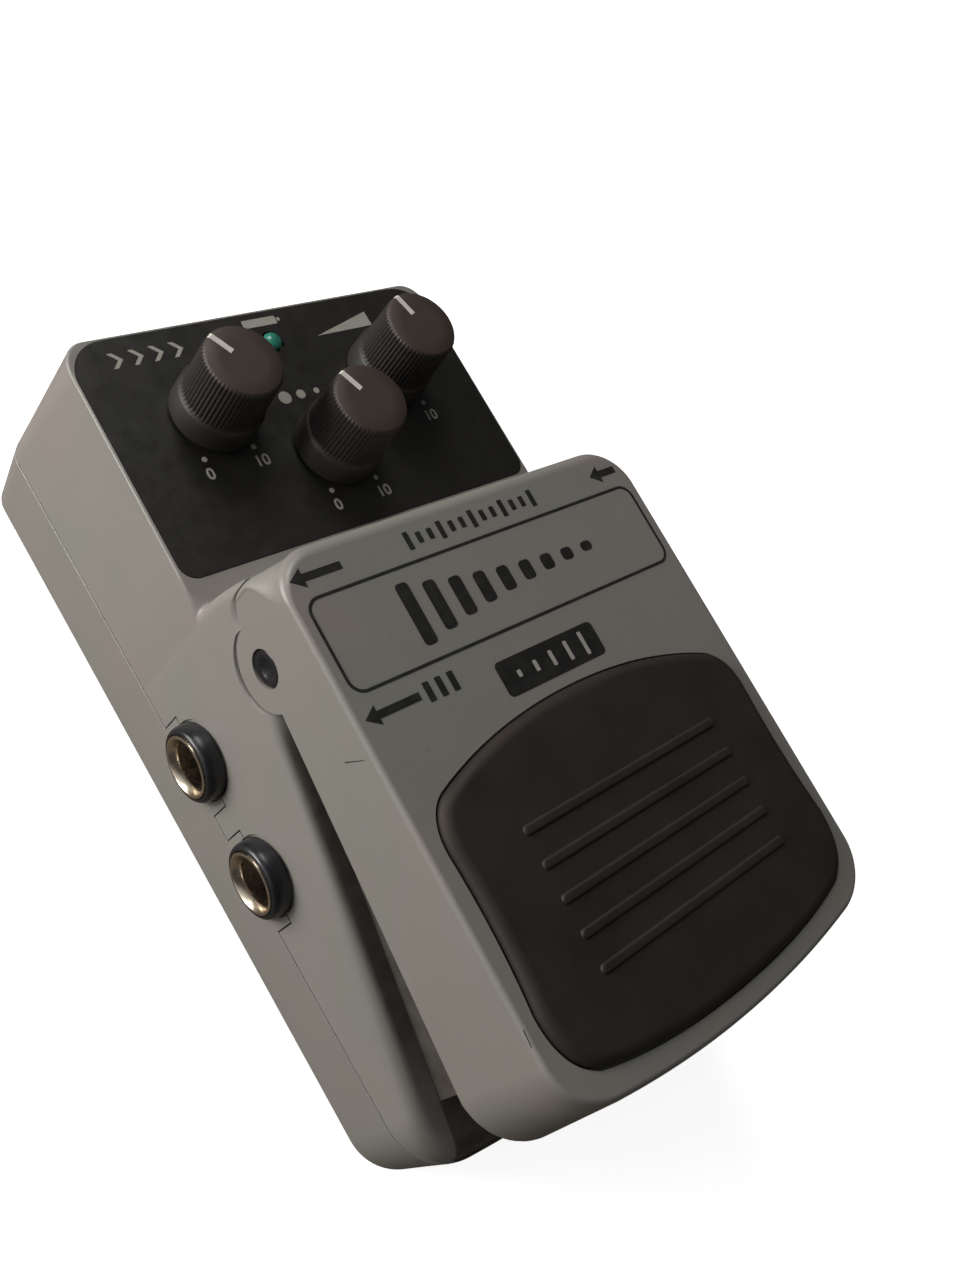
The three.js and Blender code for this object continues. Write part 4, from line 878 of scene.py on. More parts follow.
def knob_abs(tree, place):
    """Moulded black ABS with a satin grain, browned and polished a little where fingers hold it.
    The flat face is paler than the sides."""
    rgb = bpy.context.scene.pedal_finish.knob_black
    face = bpy.context.scene.pedal_deck.knob_height - 0.5 * MM
    greases = add_node(tree, "ShaderNodeTexNoise", {"Vector": place, "Scale": per(3.2)})
    grease = add_node(tree, "ShaderNodeMapRange", {"Value": greases, "From Min": 0.35, "From Max": 0.7})
    side = add_node(tree, "ShaderNodeMix", {
        "Factor": grease, "A": toned(rgb, 1), "B": toned(rgb, 1.35, 1.22, 1.1)}, data_type="RGBA")
    height = add_node(tree, "ShaderNodeSeparateXYZ", {"Vector": place})
    paler_face = add_node(tree, "ShaderNodeMapRange", {
        "Value": height.outputs["Z"], "From Min": face, "From Max": face + 0.4 * MM})
    colour = add_node(tree, "ShaderNodeMix", {
        "Factor": paler_face, "A": side, "B": toned(rgb, 4.2, 3.4, 3.1)}, data_type="RGBA")
    gloss = add_node(tree, "ShaderNodeMapRange", {
        "Value": greases, "From Min": 0.3, "From Max": 0.7, "To Min": 0.6, "To Max": 0.48})
    grain = add_node(tree, "ShaderNodeTexNoise", {"Vector": place, "Scale": per(0.22)})
    bump = add_node(tree, "ShaderNodeBump", {"Height": grain, "Distance": 0.012 * MM, "Strength": 0.4})
    return {"Base Color": colour, "Roughness": gloss, "IOR": 1.53, "Normal": bump}


def moulded_rubber(tree, place):
    """Compression-moulded rubber: brown black and dull, with dust in its grain and scuffs from
    shoes that run one way."""
    rgb = bpy.context.scene.pedal_finish.pad_rubber
    grimes = add_node(tree, "ShaderNodeTexNoise", {
        "Vector": place, "Scale": per(9), "Detail": 4, "Roughness": 0.65})
    grime = add_node(tree, "ShaderNodeMapRange", {"Value": grimes, "From Min": 0.35, "From Max": 0.7})
    base = add_node(tree, "ShaderNodeMix", {
        "Factor": grime, "A": toned(rgb, 1), "B": toned(rgb, 1.5, 1.3, 1.1)}, data_type="RGBA")
    one_way = add_node(tree, "ShaderNodeMapping", {
        "Vector": place, "Rotation": (0, 0, 0.7), "Scale": (1, 6, 1)})
    scuffs = add_node(tree, "ShaderNodeTexNoise", {
        "Vector": one_way, "Scale": per(7), "Detail": 6, "Roughness": 0.75})
    scuff = add_node(tree, "ShaderNodeMapRange", {
        "Value": scuffs, "From Min": 0.63, "From Max": 0.74, "To Max": 0.5})
    colour = add_node(tree, "ShaderNodeMix", {
        "Factor": scuff, "A": base, "B": toned(rgb, 3.4, 3, 2.5)}, data_type="RGBA")
    gloss = add_node(tree, "ShaderNodeMapRange", {
        "Value": grimes, "From Min": 0.3, "From Max": 0.7, "To Min": 0.55, "To Max": 0.72})
    grain = add_node(tree, "ShaderNodeTexNoise", {"Vector": place, "Scale": per(0.35)})
    bump = add_node(tree, "ShaderNodeBump", {"Height": grain, "Distance": 0.05 * MM, "Strength": 0.5})
    return {"Base Color": colour, "Roughness": gloss, "IOR": 1.52, "Normal": bump}


def foot_rubber(tree, place):
    """Soft black rubber, greyed by dust where it rubs."""
    rgb = linear("#1c1b1b")
    dusts = add_node(tree, "ShaderNodeTexNoise", {"Vector": place, "Scale": per(2.5), "Detail": 4})
    colour = add_node(tree, "ShaderNodeMix", {
        "Factor": dusts, "A": toned(rgb, 0.6), "B": toned(rgb, 2)}, data_type="RGBA")
    bump = add_node(tree, "ShaderNodeBump", {"Height": dusts, "Distance": 0.05 * MM, "Strength": 0.5})
    return {"Base Color": colour, "Roughness": 0.8, "Normal": bump}


def nickel_plate(tree, place):
    """Nickel-plated brass: bright and warm, slightly clouded by tarnish."""
    return plated(tree, place, linear("#d9cbb8"), 0.2)


def zinc_plate(tree, place):
    """Zinc-plated steel: a cooler and duller grey than nickel."""
    return plated(tree, place, linear("#a9a9a6"), 0.28)


def plated(tree, place, rgb, polish):
    tarnish = add_node(tree, "ShaderNodeTexNoise", {"Vector": place, "Scale": per(1.6), "Detail": 4})
    colour = add_node(tree, "ShaderNodeMix", {
        "Factor": tarnish, "A": toned(rgb, 1.1), "B": toned(rgb, 0.75)}, data_type="RGBA")
    dullness = add_node(tree, "ShaderNodeMapRange", {
        "Value": tarnish, "From Min": 0.3, "From Max": 0.7, "To Min": polish, "To Max": polish + 0.12})
    lines = add_node(tree, "ShaderNodeTexNoise", {"Vector": place, "Scale": per(0.15)})
    bump = add_node(tree, "ShaderNodeBump", {"Height": lines, "Distance": 0.004 * MM, "Strength": 0.3})
    return {"Base Color": colour, "Roughness": dullness, "Metallic": 1, "Normal": bump}


def moulded_nylon(tree, place):
    """Moulded nylon, nearly black with a blue cast and a wet-looking gloss."""
    rgb = linear("#17181c")
    patches = add_node(tree, "ShaderNodeTexNoise", {"Vector": place, "Scale": per(2.2)})
    colour = add_node(tree, "ShaderNodeMix", {
        "Factor": patches, "A": toned(rgb, 0.8), "B": toned(rgb, 1.6)}, data_type="RGBA")
    gloss = add_node(tree, "ShaderNodeMapRange", {
        "Value": patches, "From Min": 0.3, "From Max": 0.7, "To Min": 0.22, "To Max": 0.36})
    grain = add_node(tree, "ShaderNodeTexNoise", {"Vector": place, "Scale": per(0.3)})
    bump = add_node(tree, "ShaderNodeBump", {"Height": grain, "Distance": 0.01 * MM, "Strength": 0.3})
    return {"Base Color": colour, "Roughness": gloss, "IOR": 1.53, "Normal": bump}


def moulded_polyester(tree, place):
    """Glass-filled polyester of the parts inside: matt black, faintly mottled by its filler."""
    rgb = linear("#232326")
    patches = add_node(tree, "ShaderNodeTexNoise", {"Vector": place, "Scale": per(1.4), "Detail": 4})
    colour = add_node(tree, "ShaderNodeMix", {
        "Factor": patches, "A": toned(rgb, 0.8), "B": toned(rgb, 1.5)}, data_type="RGBA")
    bump = add_node(tree, "ShaderNodeBump", {
        "Height": patches, "Distance": 0.03 * MM, "Strength": 0.4})
    return {"Base Color": colour, "Roughness": 0.5, "IOR": 1.56, "Normal": bump}


def printing_ink(tree, place, rgb):
    """Screen-printed ink, a little thin in places, over satin plastic."""
    thins = add_node(tree, "ShaderNodeTexNoise", {"Vector": place, "Scale": per(1.6), "Detail": 2})
    thin = add_node(tree, "ShaderNodeMapRange", {
        "Value": thins, "From Min": 0.45, "From Max": 0.75, "To Max": 0.12})
    colour = add_node(tree, "ShaderNodeMix", {
        "Factor": thin, "A": toned(rgb, 1), "B": toned(linear("#625f5c"), 1)}, data_type="RGBA")
    bump = add_node(tree, "ShaderNodeBump", {"Height": thins, "Distance": 0.01 * MM, "Strength": 0.3})
    return {"Base Color": colour, "Roughness": 0.5, "Normal": bump}


def epoxy_board(tree, place):
    """Glass-epoxy board: green solder resist, glossy, with paler tracks under it."""
    tracks = add_node(tree, "ShaderNodeTexBrick", {
        "Vector": place, "Scale": 1, "Mortar Size": 0.35 * MM, "Brick Width": 6 * MM,
        "Row Height": 2.2 * MM, "Color1": toned(linear("#2a5a38"), 1),
        "Color2": toned(linear("#2a5a38"), 0.9), "Mortar": toned(linear("#3f7a4c"), 1)})
    bump = add_node(tree, "ShaderNodeBump", {
        "Height": tracks.outputs["Fac"], "Distance": 0.03 * MM, "Strength": 0.4})
    return {"Base Color": tracks, "Roughness": 0.35, "Normal": bump}


def printed_tin(tree, place):
    """Lacquered tin wrap of a block battery: plain dark, with a copper band at one end."""
    edge = BATTERY_HIGH.x - 14 * MM
    along = add_node(tree, "ShaderNodeSeparateXYZ", {"Vector": place})
    band = add_node(tree, "ShaderNodeMapRange", {
        "Value": along.outputs["X"], "From Min": edge, "From Max": edge + 0.3 * MM})
    colour = add_node(tree, "ShaderNodeMix", {
        "Factor": band, "A": toned(linear("#2b2e33"), 1), "B": toned(linear("#9a6238"), 1)},
        data_type="RGBA")
    dents = add_node(tree, "ShaderNodeTexNoise", {"Vector": place, "Scale": per(1)})
    gloss = add_node(tree, "ShaderNodeMapRange", {"Value": dents, "To Min": 0.26, "To Max": 0.42})
    bump = add_node(tree, "ShaderNodeBump", {"Height": dents, "Distance": 0.02 * MM, "Strength": 0.3})
    return {"Base Color": colour, "Roughness": gloss, "Metallic": 0.6, "Normal": bump}


def tinted_epoxy(tree, place):
    """Diffused epoxy of a small lamp's lens: green, smooth and slightly milky."""
    rgb = bpy.context.scene.pedal_finish.lens_green
    milk = add_node(tree, "ShaderNodeTexNoise", {"Vector": place, "Scale": per(0.8)})
    colour = add_node(tree, "ShaderNodeMix", {
        "Factor": milk, "A": toned(rgb, 0.9), "B": toned(rgb, 1.5)}, data_type="RGBA")
    return {"Base Color": colour, "Roughness": 0.18, "IOR": 1.55, "Subsurface Weight": 0.3,
            "Subsurface Scale": MM}


def ribbed_pvc(tree, place):
    """PVC ribbon cable: pale grey, with a groove between its wires every 1.27 mm."""
    rgb = linear("#9b9d9f")
    wires = add_node(tree, "ShaderNodeTexWave", {
        "Vector": place, "Scale": per(1.27) / math.tau}, bands_direction="X")
    colour = add_node(tree, "ShaderNodeMix", {
        "Factor": wires.outputs["Fac"], "A": toned(rgb, 0.7), "B": toned(rgb, 1)},
        data_type="RGBA")
    bump = add_node(tree, "ShaderNodeBump", {
        "Height": wires.outputs["Fac"], "Distance": 0.2 * MM, "Strength": 0.6})
    return {"Base Color": colour, "Roughness": 0.55, "Normal": bump}


def light_ink(tree, place):
    return printing_ink(tree, place, bpy.context.scene.pedal_finish.ink_white)


def pointer_ink(tree, place):
    return printing_ink(tree, place, bpy.context.scene.pedal_finish.pointer_white)


def dark_ink(tree, place):
    return printing_ink(tree, place, bpy.context.scene.pedal_finish.ink_black)


LOOKS = {
    "case_grey": ("moulded_grey_abs", moulded_abs),
    # Grey ABS with painted shade under the treadle
    "case_painted_shade": ("moulded_grey_abs_painted_shade", case_abs_with_painted_shade),
    "panel_black": ("printed_black_film", printed_film),
    "knob_black": ("moulded_black_abs", knob_abs),
    "pad_rubber": ("moulded_rubber", moulded_rubber),
    "foot_rubber": ("soft_foot_rubber", foot_rubber),
    "nickel": ("nickel_plated_brass", nickel_plate),
    "spring_steel": ("zinc_plated_steel", zinc_plate),
    "nylon": ("moulded_black_nylon", moulded_nylon),
    "dark_plastic": ("matt_black_polyester", moulded_polyester),
    "board_green": ("green_epoxy_board", epoxy_board),
    "battery_wrap": ("lacquered_tin", printed_tin),
    "lens_green": ("green_epoxy_lens", tinted_epoxy),
    "ribbon_grey": ("grey_ribbon_pvc", ribbed_pvc),
    "ink_white": ("light_printing_ink", light_ink),
    "pointer_white": ("pointer_ink", pointer_ink),
    "ink_black": ("dark_printing_ink", dark_ink),
}


def look(key):
    """The material of a slot or use, made when it is first asked for."""
    return material(*LOOKS[key])


# Pieces
class PEDAL_OT_upper_case(bpy.types.Operator):
    """Build the upper case with its deck, ridge, wells, lugs and jack slots"""
    bl_idname = "pedal.upper_case"
    bl_label = "Upper Case"

    def execute(self, context):
        case, treadle = context.scene.pedal_case, context.scene.pedal_treadle
        deck = context.scene.pedal_deck
        top = UPPER_HIGH.z
        outer = combined(upper_form(case), joined=[side_slab([
            (-block_front, case.parting), (ledge_y, case.parting), (ledge_y, block_back_height),
            (-block_front, block_back_height - block_drop)], -block_half, block_half)])
        inner_half = block_half - block_wall
        outer = combined(outer, cut=[
            case_hollow(case), front_room(case),
            block(-inner_half, inner_half, block_wall - block_front, -battery_well_back,
                  battery_floor, top),
            block(-inner_half, inner_half, -switch_well_front, -switch_well_back, switch_floor, top),
        ])
        under_deck = deck_z(ridge_rear_y) - deck_roof
        spring = middle(SPRING_LOW, SPRING_HIGH)
        added = []
        for side in (-1, 1):
            x0, x1 = span(side, lug_inner_x, lug_outer_x)
            added.append(rod("X", lug_radius, x0, x1, HINGE.y, HINGE.z))
            added.append(block(x0, x1, HINGE.y - lug_radius, HINGE.y + lug_radius, under_deck,
                               HINGE.z))
        stop_front = TREADLE_HIGH.y - treadle.wall + slip
        stop_top = ridge_height - math.sqrt(tail_radius ** 2 - (stop_front - tail_y) ** 2) - slip
        added.append(block(-stop_half, stop_half, stop_front, stop_front + stop_depth, under_deck,
                           stop_top))
        added.append(rod("Z", spring_seat_radius, switch_floor - weld,
                         switch_floor + spring_seat_height, spring.x, spring.y))
        for screw in centres("case_screw"):
            roof = (deck_z(screw.y) if screw.y > 0 else ledge_z(screw.y)) - deck_roof / 2
            post = rod("Z", boss_radius, boss_foot, roof, screw.x, screw.y)
            hole = rod("Z", screw_hole, 0, roof - deck_roof, screw.x, screw.y)
            added.append(combined(post, cut=[hole]))
        outer = combined(outer, joined=added)
        far = CASE_HIGH.x + over
        cuts = [rod("X", pin_bore, *span(side, pin_bore_end_x, far), HINGE.y, HINGE.z)
                for side in (1, -1)]
        cuts += [ear_notch(case, treadle, side) for side in (-1, 1)]
        cuts += jack_cuts(case, True, False) + [inlet_cut()] + deck_cuts(deck)
        outer = combined(outer, cut=cuts)
        smooth(outer)
        # The upper case's grey carries painted shade under the treadle.
        finish(outer, "upper_case_shell", look("case_painted_shade"), "case", ["top_case"])
        return {"FINISHED"}


class PEDAL_OT_lower_case(bpy.types.Operator):
    """Build the lower case, a tray with a tongue under each jack"""
    bl_idname = "pedal.lower_case"
    bl_label = "Lower Case"

    def execute(self, context):
        case = context.scene.pedal_case
        outline = case_plan(case, 0, (), 18)

        def leaning(z, more=0):
            """An inset for the lower walls at a height. The front leans in more than the sides."""
            def inset(x, y, nx, ny):
                front = max(0, -ny) ** 2 * (case.under_front_lean - case.under_lean)
                return (case.under_lean + front) * (case.parting - z) + more
            return inset

        rings = []
        for k in range(6):
            a = math.pi / 2 * k / 5
            up = CASE_LOW.z + case.bottom_edge * (1 - math.cos(a))
            rings.append(ring(outline, leaning(up, case.bottom_edge * (1 - math.sin(a))),
                              lambda x, y: up))
        rings.append(ring(outline, lambda *p: 0, lambda x, y: case.parting - seam_edge))
        rings.append(ring(outline, lambda *p: seam_edge, lambda x, y: case.parting))
        tray = loft("tray", rings)
        inside = case_plan(case, case.wall)
        hollow = loft("hollow", [
            ring(inside, leaning(floor_top), lambda x, y: floor_top),
            ring(inside, lambda *p: 0, lambda x, y: case.parting + over),
        ])
        tray = combined(tray, cut=[hollow])
        added = []
        edge = CASE_HIGH.x - case_lean(case, tongue_height)
        root = case.parting - weld
        for _, side, y in jack_places():
            section = [(side * x, z) for x, z in (
                (edge - case.wall, floor_top), (CASE_HIGH.x - tongue_inset, floor_top),
                (CASE_HIGH.x - tongue_inset, root), (CASE_HIGH.x, case.parting),
                (edge, tongue_height),
                (edge - case.wall, tongue_height))]
            added.append(prism(section, y - tongue_half, y + tongue_half,
                               lambda x, z, along: (x, along, z)))
        for place in centres("case_screw"):
            added.append(rod("Z", lower_boss_radius, floor_top - weld, boss_foot - slip, place.x,
                             place.y))
        board_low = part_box("main_board")[0].z
        for place in centres("board_screw"):
            added.append(rod("Z", board_post_radius, floor_top - weld, board_low - slip, place.x,
                             place.y))
        tray = combined(tray, joined=added)
        cuts = []
        for place in centres("case_screw"):
            cuts.append(rod("Z", screw_hole, -over, boss_foot + over, place.x, place.y))
            cuts.append(rod("Z", head_hole, -over, CASE_LOW.z + head_depth, place.x, place.y))
        for place in centres("board_screw"):
            cuts.append(rod("Z", screw_hole, board_low - board_hole_depth, board_low + over, place.x,
                            place.y))
        for place in centres("rubber_foot"):
            cuts.append(rod("Z", foot_seat_radius, -over, CASE_LOW.z + foot_seat_depth, place.x,
                            place.y, 64))
        tray = combined(tray, cut=cuts + jack_cuts(case, False, True) + [inlet_cut()])
        smooth(tray)
        finish(tray, "lower_case_shell", look("case_grey"), "case", ["bottom_case"])
        return {"FINISHED"}


treadle_top_y = 16 * MM
skirt_back = 1 * MM
skirt_front = -51 * MM
skirt_drop = 1.8 * MM
skirt_slope = 0.177
skirt_run = 5 * MM
skirt_spare = 7 * MM
pad_back = -13.8 * MM
pad_front = -57.3 * MM
pad_root = 0.6 * MM
pad_seat = 0.9 * MM


def treadle_z(treadle, y):
    return HINGE.z + treadle.rise + treadle.slope * (y - treadle_top_y)


def treadle_form(treadle, inset, edge, drop):
    """The treadle's solid form. Its rear corners are sharp beside the ears and grow rounder towards
    the top."""
    base = TREADLE_LOW.z

    def lean(x, y, nx, ny, z):
        front = max(0, -ny) ** 2 * (treadle.front_lean - treadle.lean)
        return ((1 - max(0, ny)) * treadle.lean + front) * (z - base)

    def outline(corner):
        return plan(TREADLE_HIGH.x - inset, TREADLE_HIGH.y - inset, -TREADLE_LOW.y - inset,
                    treadle.bulge, max(corner - inset, 0.2 * MM), treadle.front_corner - inset,
                    (), 18)

    def top(y):
        return treadle_z(treadle, y) - drop

    def radius(ny):
        return edge + (treadle.rear_edge - treadle.edge) * max(0, ny) * (drop == 0)

    low = base - skirt_spare
    rings = [ring(outline(treadle.ear_corner), lambda *p: lean(*p, low), lambda x, y: low)]
    start, steps = ridge_height + 0.4 * MM, 10
    for k in range(steps):
        grown = blend_share(0, steps, k)
        right = []
        for x, y, nx, ny in outline(
                treadle.ear_corner + (treadle.rear_corner - treadle.ear_corner) * grown):
            z = start + (top(y) - radius(ny) - start) * k / steps
            d = lean(x, y, nx, ny, z)
            right.append((x - nx * d, y - ny * d, z))
        rings.append(mirrored(right))
    for k in range(9):
        a = math.pi / 2 * k / 8
        right = []
        for x, y, nx, ny in outline(treadle.rear_corner):
            d = lean(x, y, nx, ny, top(y)) + radius(ny) * (1 - math.cos(a))
            y1 = y - ny * d
            right.append((x - nx * d, y1, top(y1) - radius(ny) * (1 - math.sin(a))))
        rings.append(mirrored(right))
    return loft("treadle_form", rings)


def on_treadle_frame(treadle):
    """The frame of the treadle's sloping top, with its origin near the back."""
    return (Matrix.Translation((0, treadle_top_y, HINGE.z + treadle.rise))
            @ Matrix.Rotation(math.atan(treadle.slope), 4, "X"))


def along_treadle(treadle, y):
    return (y - treadle_top_y) / math.cos(math.atan(treadle.slope))


def pad_outline(treadle, steps=14):
    """The right half of the pad's outline, as curves with their outward directions."""
    back = along_treadle(treadle, pad_back)
    front = along_treadle(treadle, pad_front)
    narrow, wide = 28.8 * MM, PAD_HALF
    shoulder, turn, chin, corner = 4.6 * MM, 6.5 * MM, 3 * MM, 4.5 * MM
    curves = [
        ((0, back), (narrow / 2, back), (narrow - turn / 2, back - shoulder)),
        ((narrow - turn / 2, back - shoulder), (narrow, back - shoulder - turn / 4),
         (narrow, back - shoulder - turn)),
        ((narrow, back - shoulder - turn), (wide - corner / 4, (back + front) / 2),
         (wide, front + chin + 2 * corner)),
        ((wide, front + chin + 2 * corner), (wide, front + chin + corner / 2),
         (wide - corner, front + chin)),
        ((wide - corner, front + chin), (wide / 2, front), (0, front)),
    ]
    points = []
    for number, (a, b, c) in enumerate(curves):
        for k in range(1 if number else 0, steps + 1):
            t = k / steps
            x, y = [(1 - t) ** 2 * a[i] + 2 * t * (1 - t) * b[i] + t * t * c[i] for i in (0, 1)]
            run = Vector([(1 - t) * (b[i] - a[i]) + t * (c[i] - b[i]) for i in (0, 1)]).normalized()
            points.append((x, y, -run.y, run.x))
    return points


class PEDAL_OT_treadle(bpy.types.Operator):
    """Build the treadle's shell with its ears, its post and the pad's seat"""
    bl_idname = "pedal.treadle"
    bl_label = "Treadle"

    def execute(self, context):
        treadle = context.scene.pedal_treadle
        shell = combined(treadle_form(treadle, 0, treadle.edge, 0), cut=[
            treadle_form(treadle, treadle.wall, treadle.edge / 3, treadle.wall)])
        far, wide = CASE_HIGH.y + over, CASE_HIGH.x + over
        skirt_z = HINGE.z - skirt_drop
        below = side_slab([
            (-far, 0), (far, 0), (far, ridge_height), *tail_arc(tail_radius, 20),
            (skirt_back, skirt_z),
            (skirt_front, skirt_z + skirt_slope * (skirt_front - skirt_back)),
            (skirt_front - skirt_run, TREADLE_LOW.z), (-far, TREADLE_LOW.z)], -wide, wide)
        inner = TREADLE_HIGH.x - treadle.wall - slip
        ears = [rod("X", treadle.ear_radius, *span(side, inner, wide), HINGE.y, HINGE.z, 96)
                for side in (-1, 1)]
        below = combined(below, cut=ears)
        press = middle(PLUNGER_LOW, PLUNGER_HIGH)
        spring = middle(SPRING_LOW, SPRING_HIGH)
        under = treadle_z(treadle, press.y) - treadle.wall
        shell = combined(shell, cut=[below])
        shell = combined(shell, joined=[
            rod("Z", press_post_radius, PLUNGER_HIGH.z + slip, under + weld, press.x, press.y),
            rod("Z", spring_seat_radius, under - spring_seat_height, under + weld, spring.x,
                spring.y)])
        seat = loft("seat", [ring(pad_outline(treadle), lambda *p: -slip, lambda x, y: z)
                             for z in (-pad_seat, over)])
        shell = combined(shell, cut=[
            rod("X", ear_bore, -wide, wide, HINGE.y, HINGE.z, 48),
            moved(seat, on_treadle_frame(treadle))])
        smooth(shell)
        finish(shell, "treadle_shell", look("case_grey"), "treadle",
               ["treadle_cover"])
        return {"FINISHED"}


class PEDAL_OT_pad(bpy.types.Operator):
    """Build the rubber pad with its rounded edge and ribs"""
    bl_idname = "pedal.pad"
    bl_label = "Rubber Pad"

    def execute(self, context):
        treadle = context.scene.pedal_treadle
        outline = pad_outline(treadle)
        stand, bevel = treadle.pad_stand, treadle.pad_bevel
        rings = [ring(outline, lambda *p: 0, lambda x, y: -pad_root)]
        for k in range(8):
            a = math.pi / 2 * k / 7
            rings.append(ring(outline, lambda *p: bevel * (1 - math.cos(a)),
                              lambda x, y: stand * math.sin(a)))
        pad = loft("pad", rings)
        first_y, step, reach, half = -27 * MM, 4.6 * MM, 19 * MM, 0.75 * MM
        sunk, rise = 0.5 * MM, 0.32 * MM
        ribs = [rounded_rib(reach, along_treadle(treadle, first_y - step * k), half, stand - sunk,
                            stand + rise) for k in range(treadle.rib_count)]
        pad = moved(combined(pad, joined=ribs), on_treadle_frame(treadle))
        smooth(pad, 40)
        finish(pad, "rubber_pad", look("pad_rubber"), "treadle", ["foot_pad"])
        return {"FINISHED"}


def rounded_rib(reach, y, half, low, high):
    """A rib along X with round ends and a round top."""
    soft = 0.45 * MM

    def level(inset, z):
        outline = (arc(reach - half, y, half - inset, math.pi / 2, -math.pi / 2, 10)
                   + arc(half - reach, y, half - inset, -math.pi / 2, -3 * math.pi / 2, 10))
        return [(px, py, z) for px, py in outline]

    rings = [level(0, low)]
    for k in range(7):
        a = math.pi / 2 * k / 6
        rings.append(level(soft * (1 - math.cos(a)), high - soft * (1 - math.sin(a))))
    return tube("rib", rings)


class PEDAL_OT_panel(bpy.types.Operator):
    """Build the printed panel on the deck"""
    bl_idname = "pedal.panel"
    bl_label = "Deck Panel"

    def execute(self, context):
        deck = context.scene.pedal_deck
        cuts = [rod("Z", shaft_hole, -over, over, x, y) for _, x, y in knob_places()]
        cuts.append(rod("Z", lens_hole, -over, over, 0, lens_y))
        plate = plan_slab(panel_outline(deck, 0), panel_proud - panel_thick, panel_proud)
        plate = moved(combined(plate, cut=cuts), on_deck_frame())
        smooth(plate)
        finish(plate, "deck_panel", look("panel_black"), "case",
               ["control_panel"])
        return {"FINISHED"}


class PEDAL_OT_knobs(bpy.types.Operator):
    """Build the three knobs, each with a smooth base, fine flutes and a light pointer"""
    bl_idname = "pedal.knobs"
    bl_label = "Knobs"

    def execute(self, context):
        deck = context.scene.pedal_deck
        for name, x, y in knob_places():
            low, high = JOINTS[f"{name}_knob_turn"]["range_deg"]
            turn = -math.radians((low + high) / 2)
            seat = on_deck_frame() @ Matrix.Translation((x, y, panel_proud))
            seat = seat @ Matrix.Rotation(turn, 4, "Z")
            knob = knob_form(deck)
            knob.matrix_world = seat
            smooth(knob, 40)
            finish(knob, f"{name}_knob_cap", look("knob_black"), f"{name}_knob",
                   [f"knob_{name}"])
            line = pointer_form(deck)
            line.matrix_world = seat
            smooth(line)
            finish(line, f"{name}_knob_pointer", look("pointer_white"),
                   f"{name}_knob")
        return {"FINISHED"}


pointer_inner = 1.9 * MM
pointer_half = 0.45 * MM


def knob_profile(deck):
    """Radius, height and flute depth up the side of a knob."""
    lift, skirt, neck = 0.35 * MM, deck.knob_skirt, deck.knob_skirt - 0.4 * MM
    high, top, face = deck.knob_height, deck.knob_top, deck.knob_top - 0.42 * MM
    step = 4.9 * MM
    deep = 0.15 * MM
    return [
        (skirt - 0.25 * MM, lift, 0), (skirt, lift + 0.3 * MM, 0),
        (skirt - 0.12 * MM, step - 0.5 * MM, 0), (skirt - 0.3 * MM, step - 0.12 * MM, 0),
        (neck - 0.1 * MM, step, 0), (neck - 0.12 * MM, step + 0.15 * MM, deep * 0.4),
        (neck - 0.16 * MM, step + 0.45 * MM, deep), (top + 0.02 * MM, high - 0.7 * MM, deep),
        (top - 0.05 * MM, high - 0.42 * MM, deep * 0.8), (top - 0.18 * MM, high - 0.2 * MM, deep * 0.4),
        (face + 0.1 * MM, high - 0.06 * MM, 0), (face, high - 0.01 * MM, 0),
        (face * 0.6, high, 0), (face * 0.25, high, 0),
    ]


def knob_form(deck):
    per_flute = 6
    count = deck.flutes * per_flute
    rings = []
    for radius, height, depth in knob_profile(deck):
        points = []
        for k in range(count):
            a = math.pi / 2 - math.tau * k / count
            wave = (1 + math.cos(math.tau * k / per_flute)) / 2
            r = radius - depth * wave ** 2
            points.append((r * math.cos(a), r * math.sin(a), height))
        rings.append(points)
    knob = loft("knob", rings)
    bore = rod("Z", 3.3 * MM, -over, 9.6 * MM, 0, 0)
    groove = block(-pointer_half, pointer_half, pointer_inner, deck.knob_skirt + over,
                   deck.knob_height - 0.35 * MM, deck.knob_height + over)
    return combined(knob, cut=[bore, groove])


def pointer_form(deck):
    """The light inlay in the groove of a knob's face, which runs over the rounded rim."""
    high = deck.knob_height
    edge = deck.knob_top - 0.12 * MM
    half = pointer_half - 0.02 * MM
    low = high - 0.34 * MM
    outline = [(pointer_inner + 0.03 * MM, low), (edge, low), (edge - 0.02 * MM, high - 0.18 * MM),
               (edge - 0.3 * MM, high + 0.01 * MM), (pointer_inner + 0.03 * MM, high + 0.01 * MM)]
    return prism(outline, -half, half, lambda y, z, x: (x, y, z))


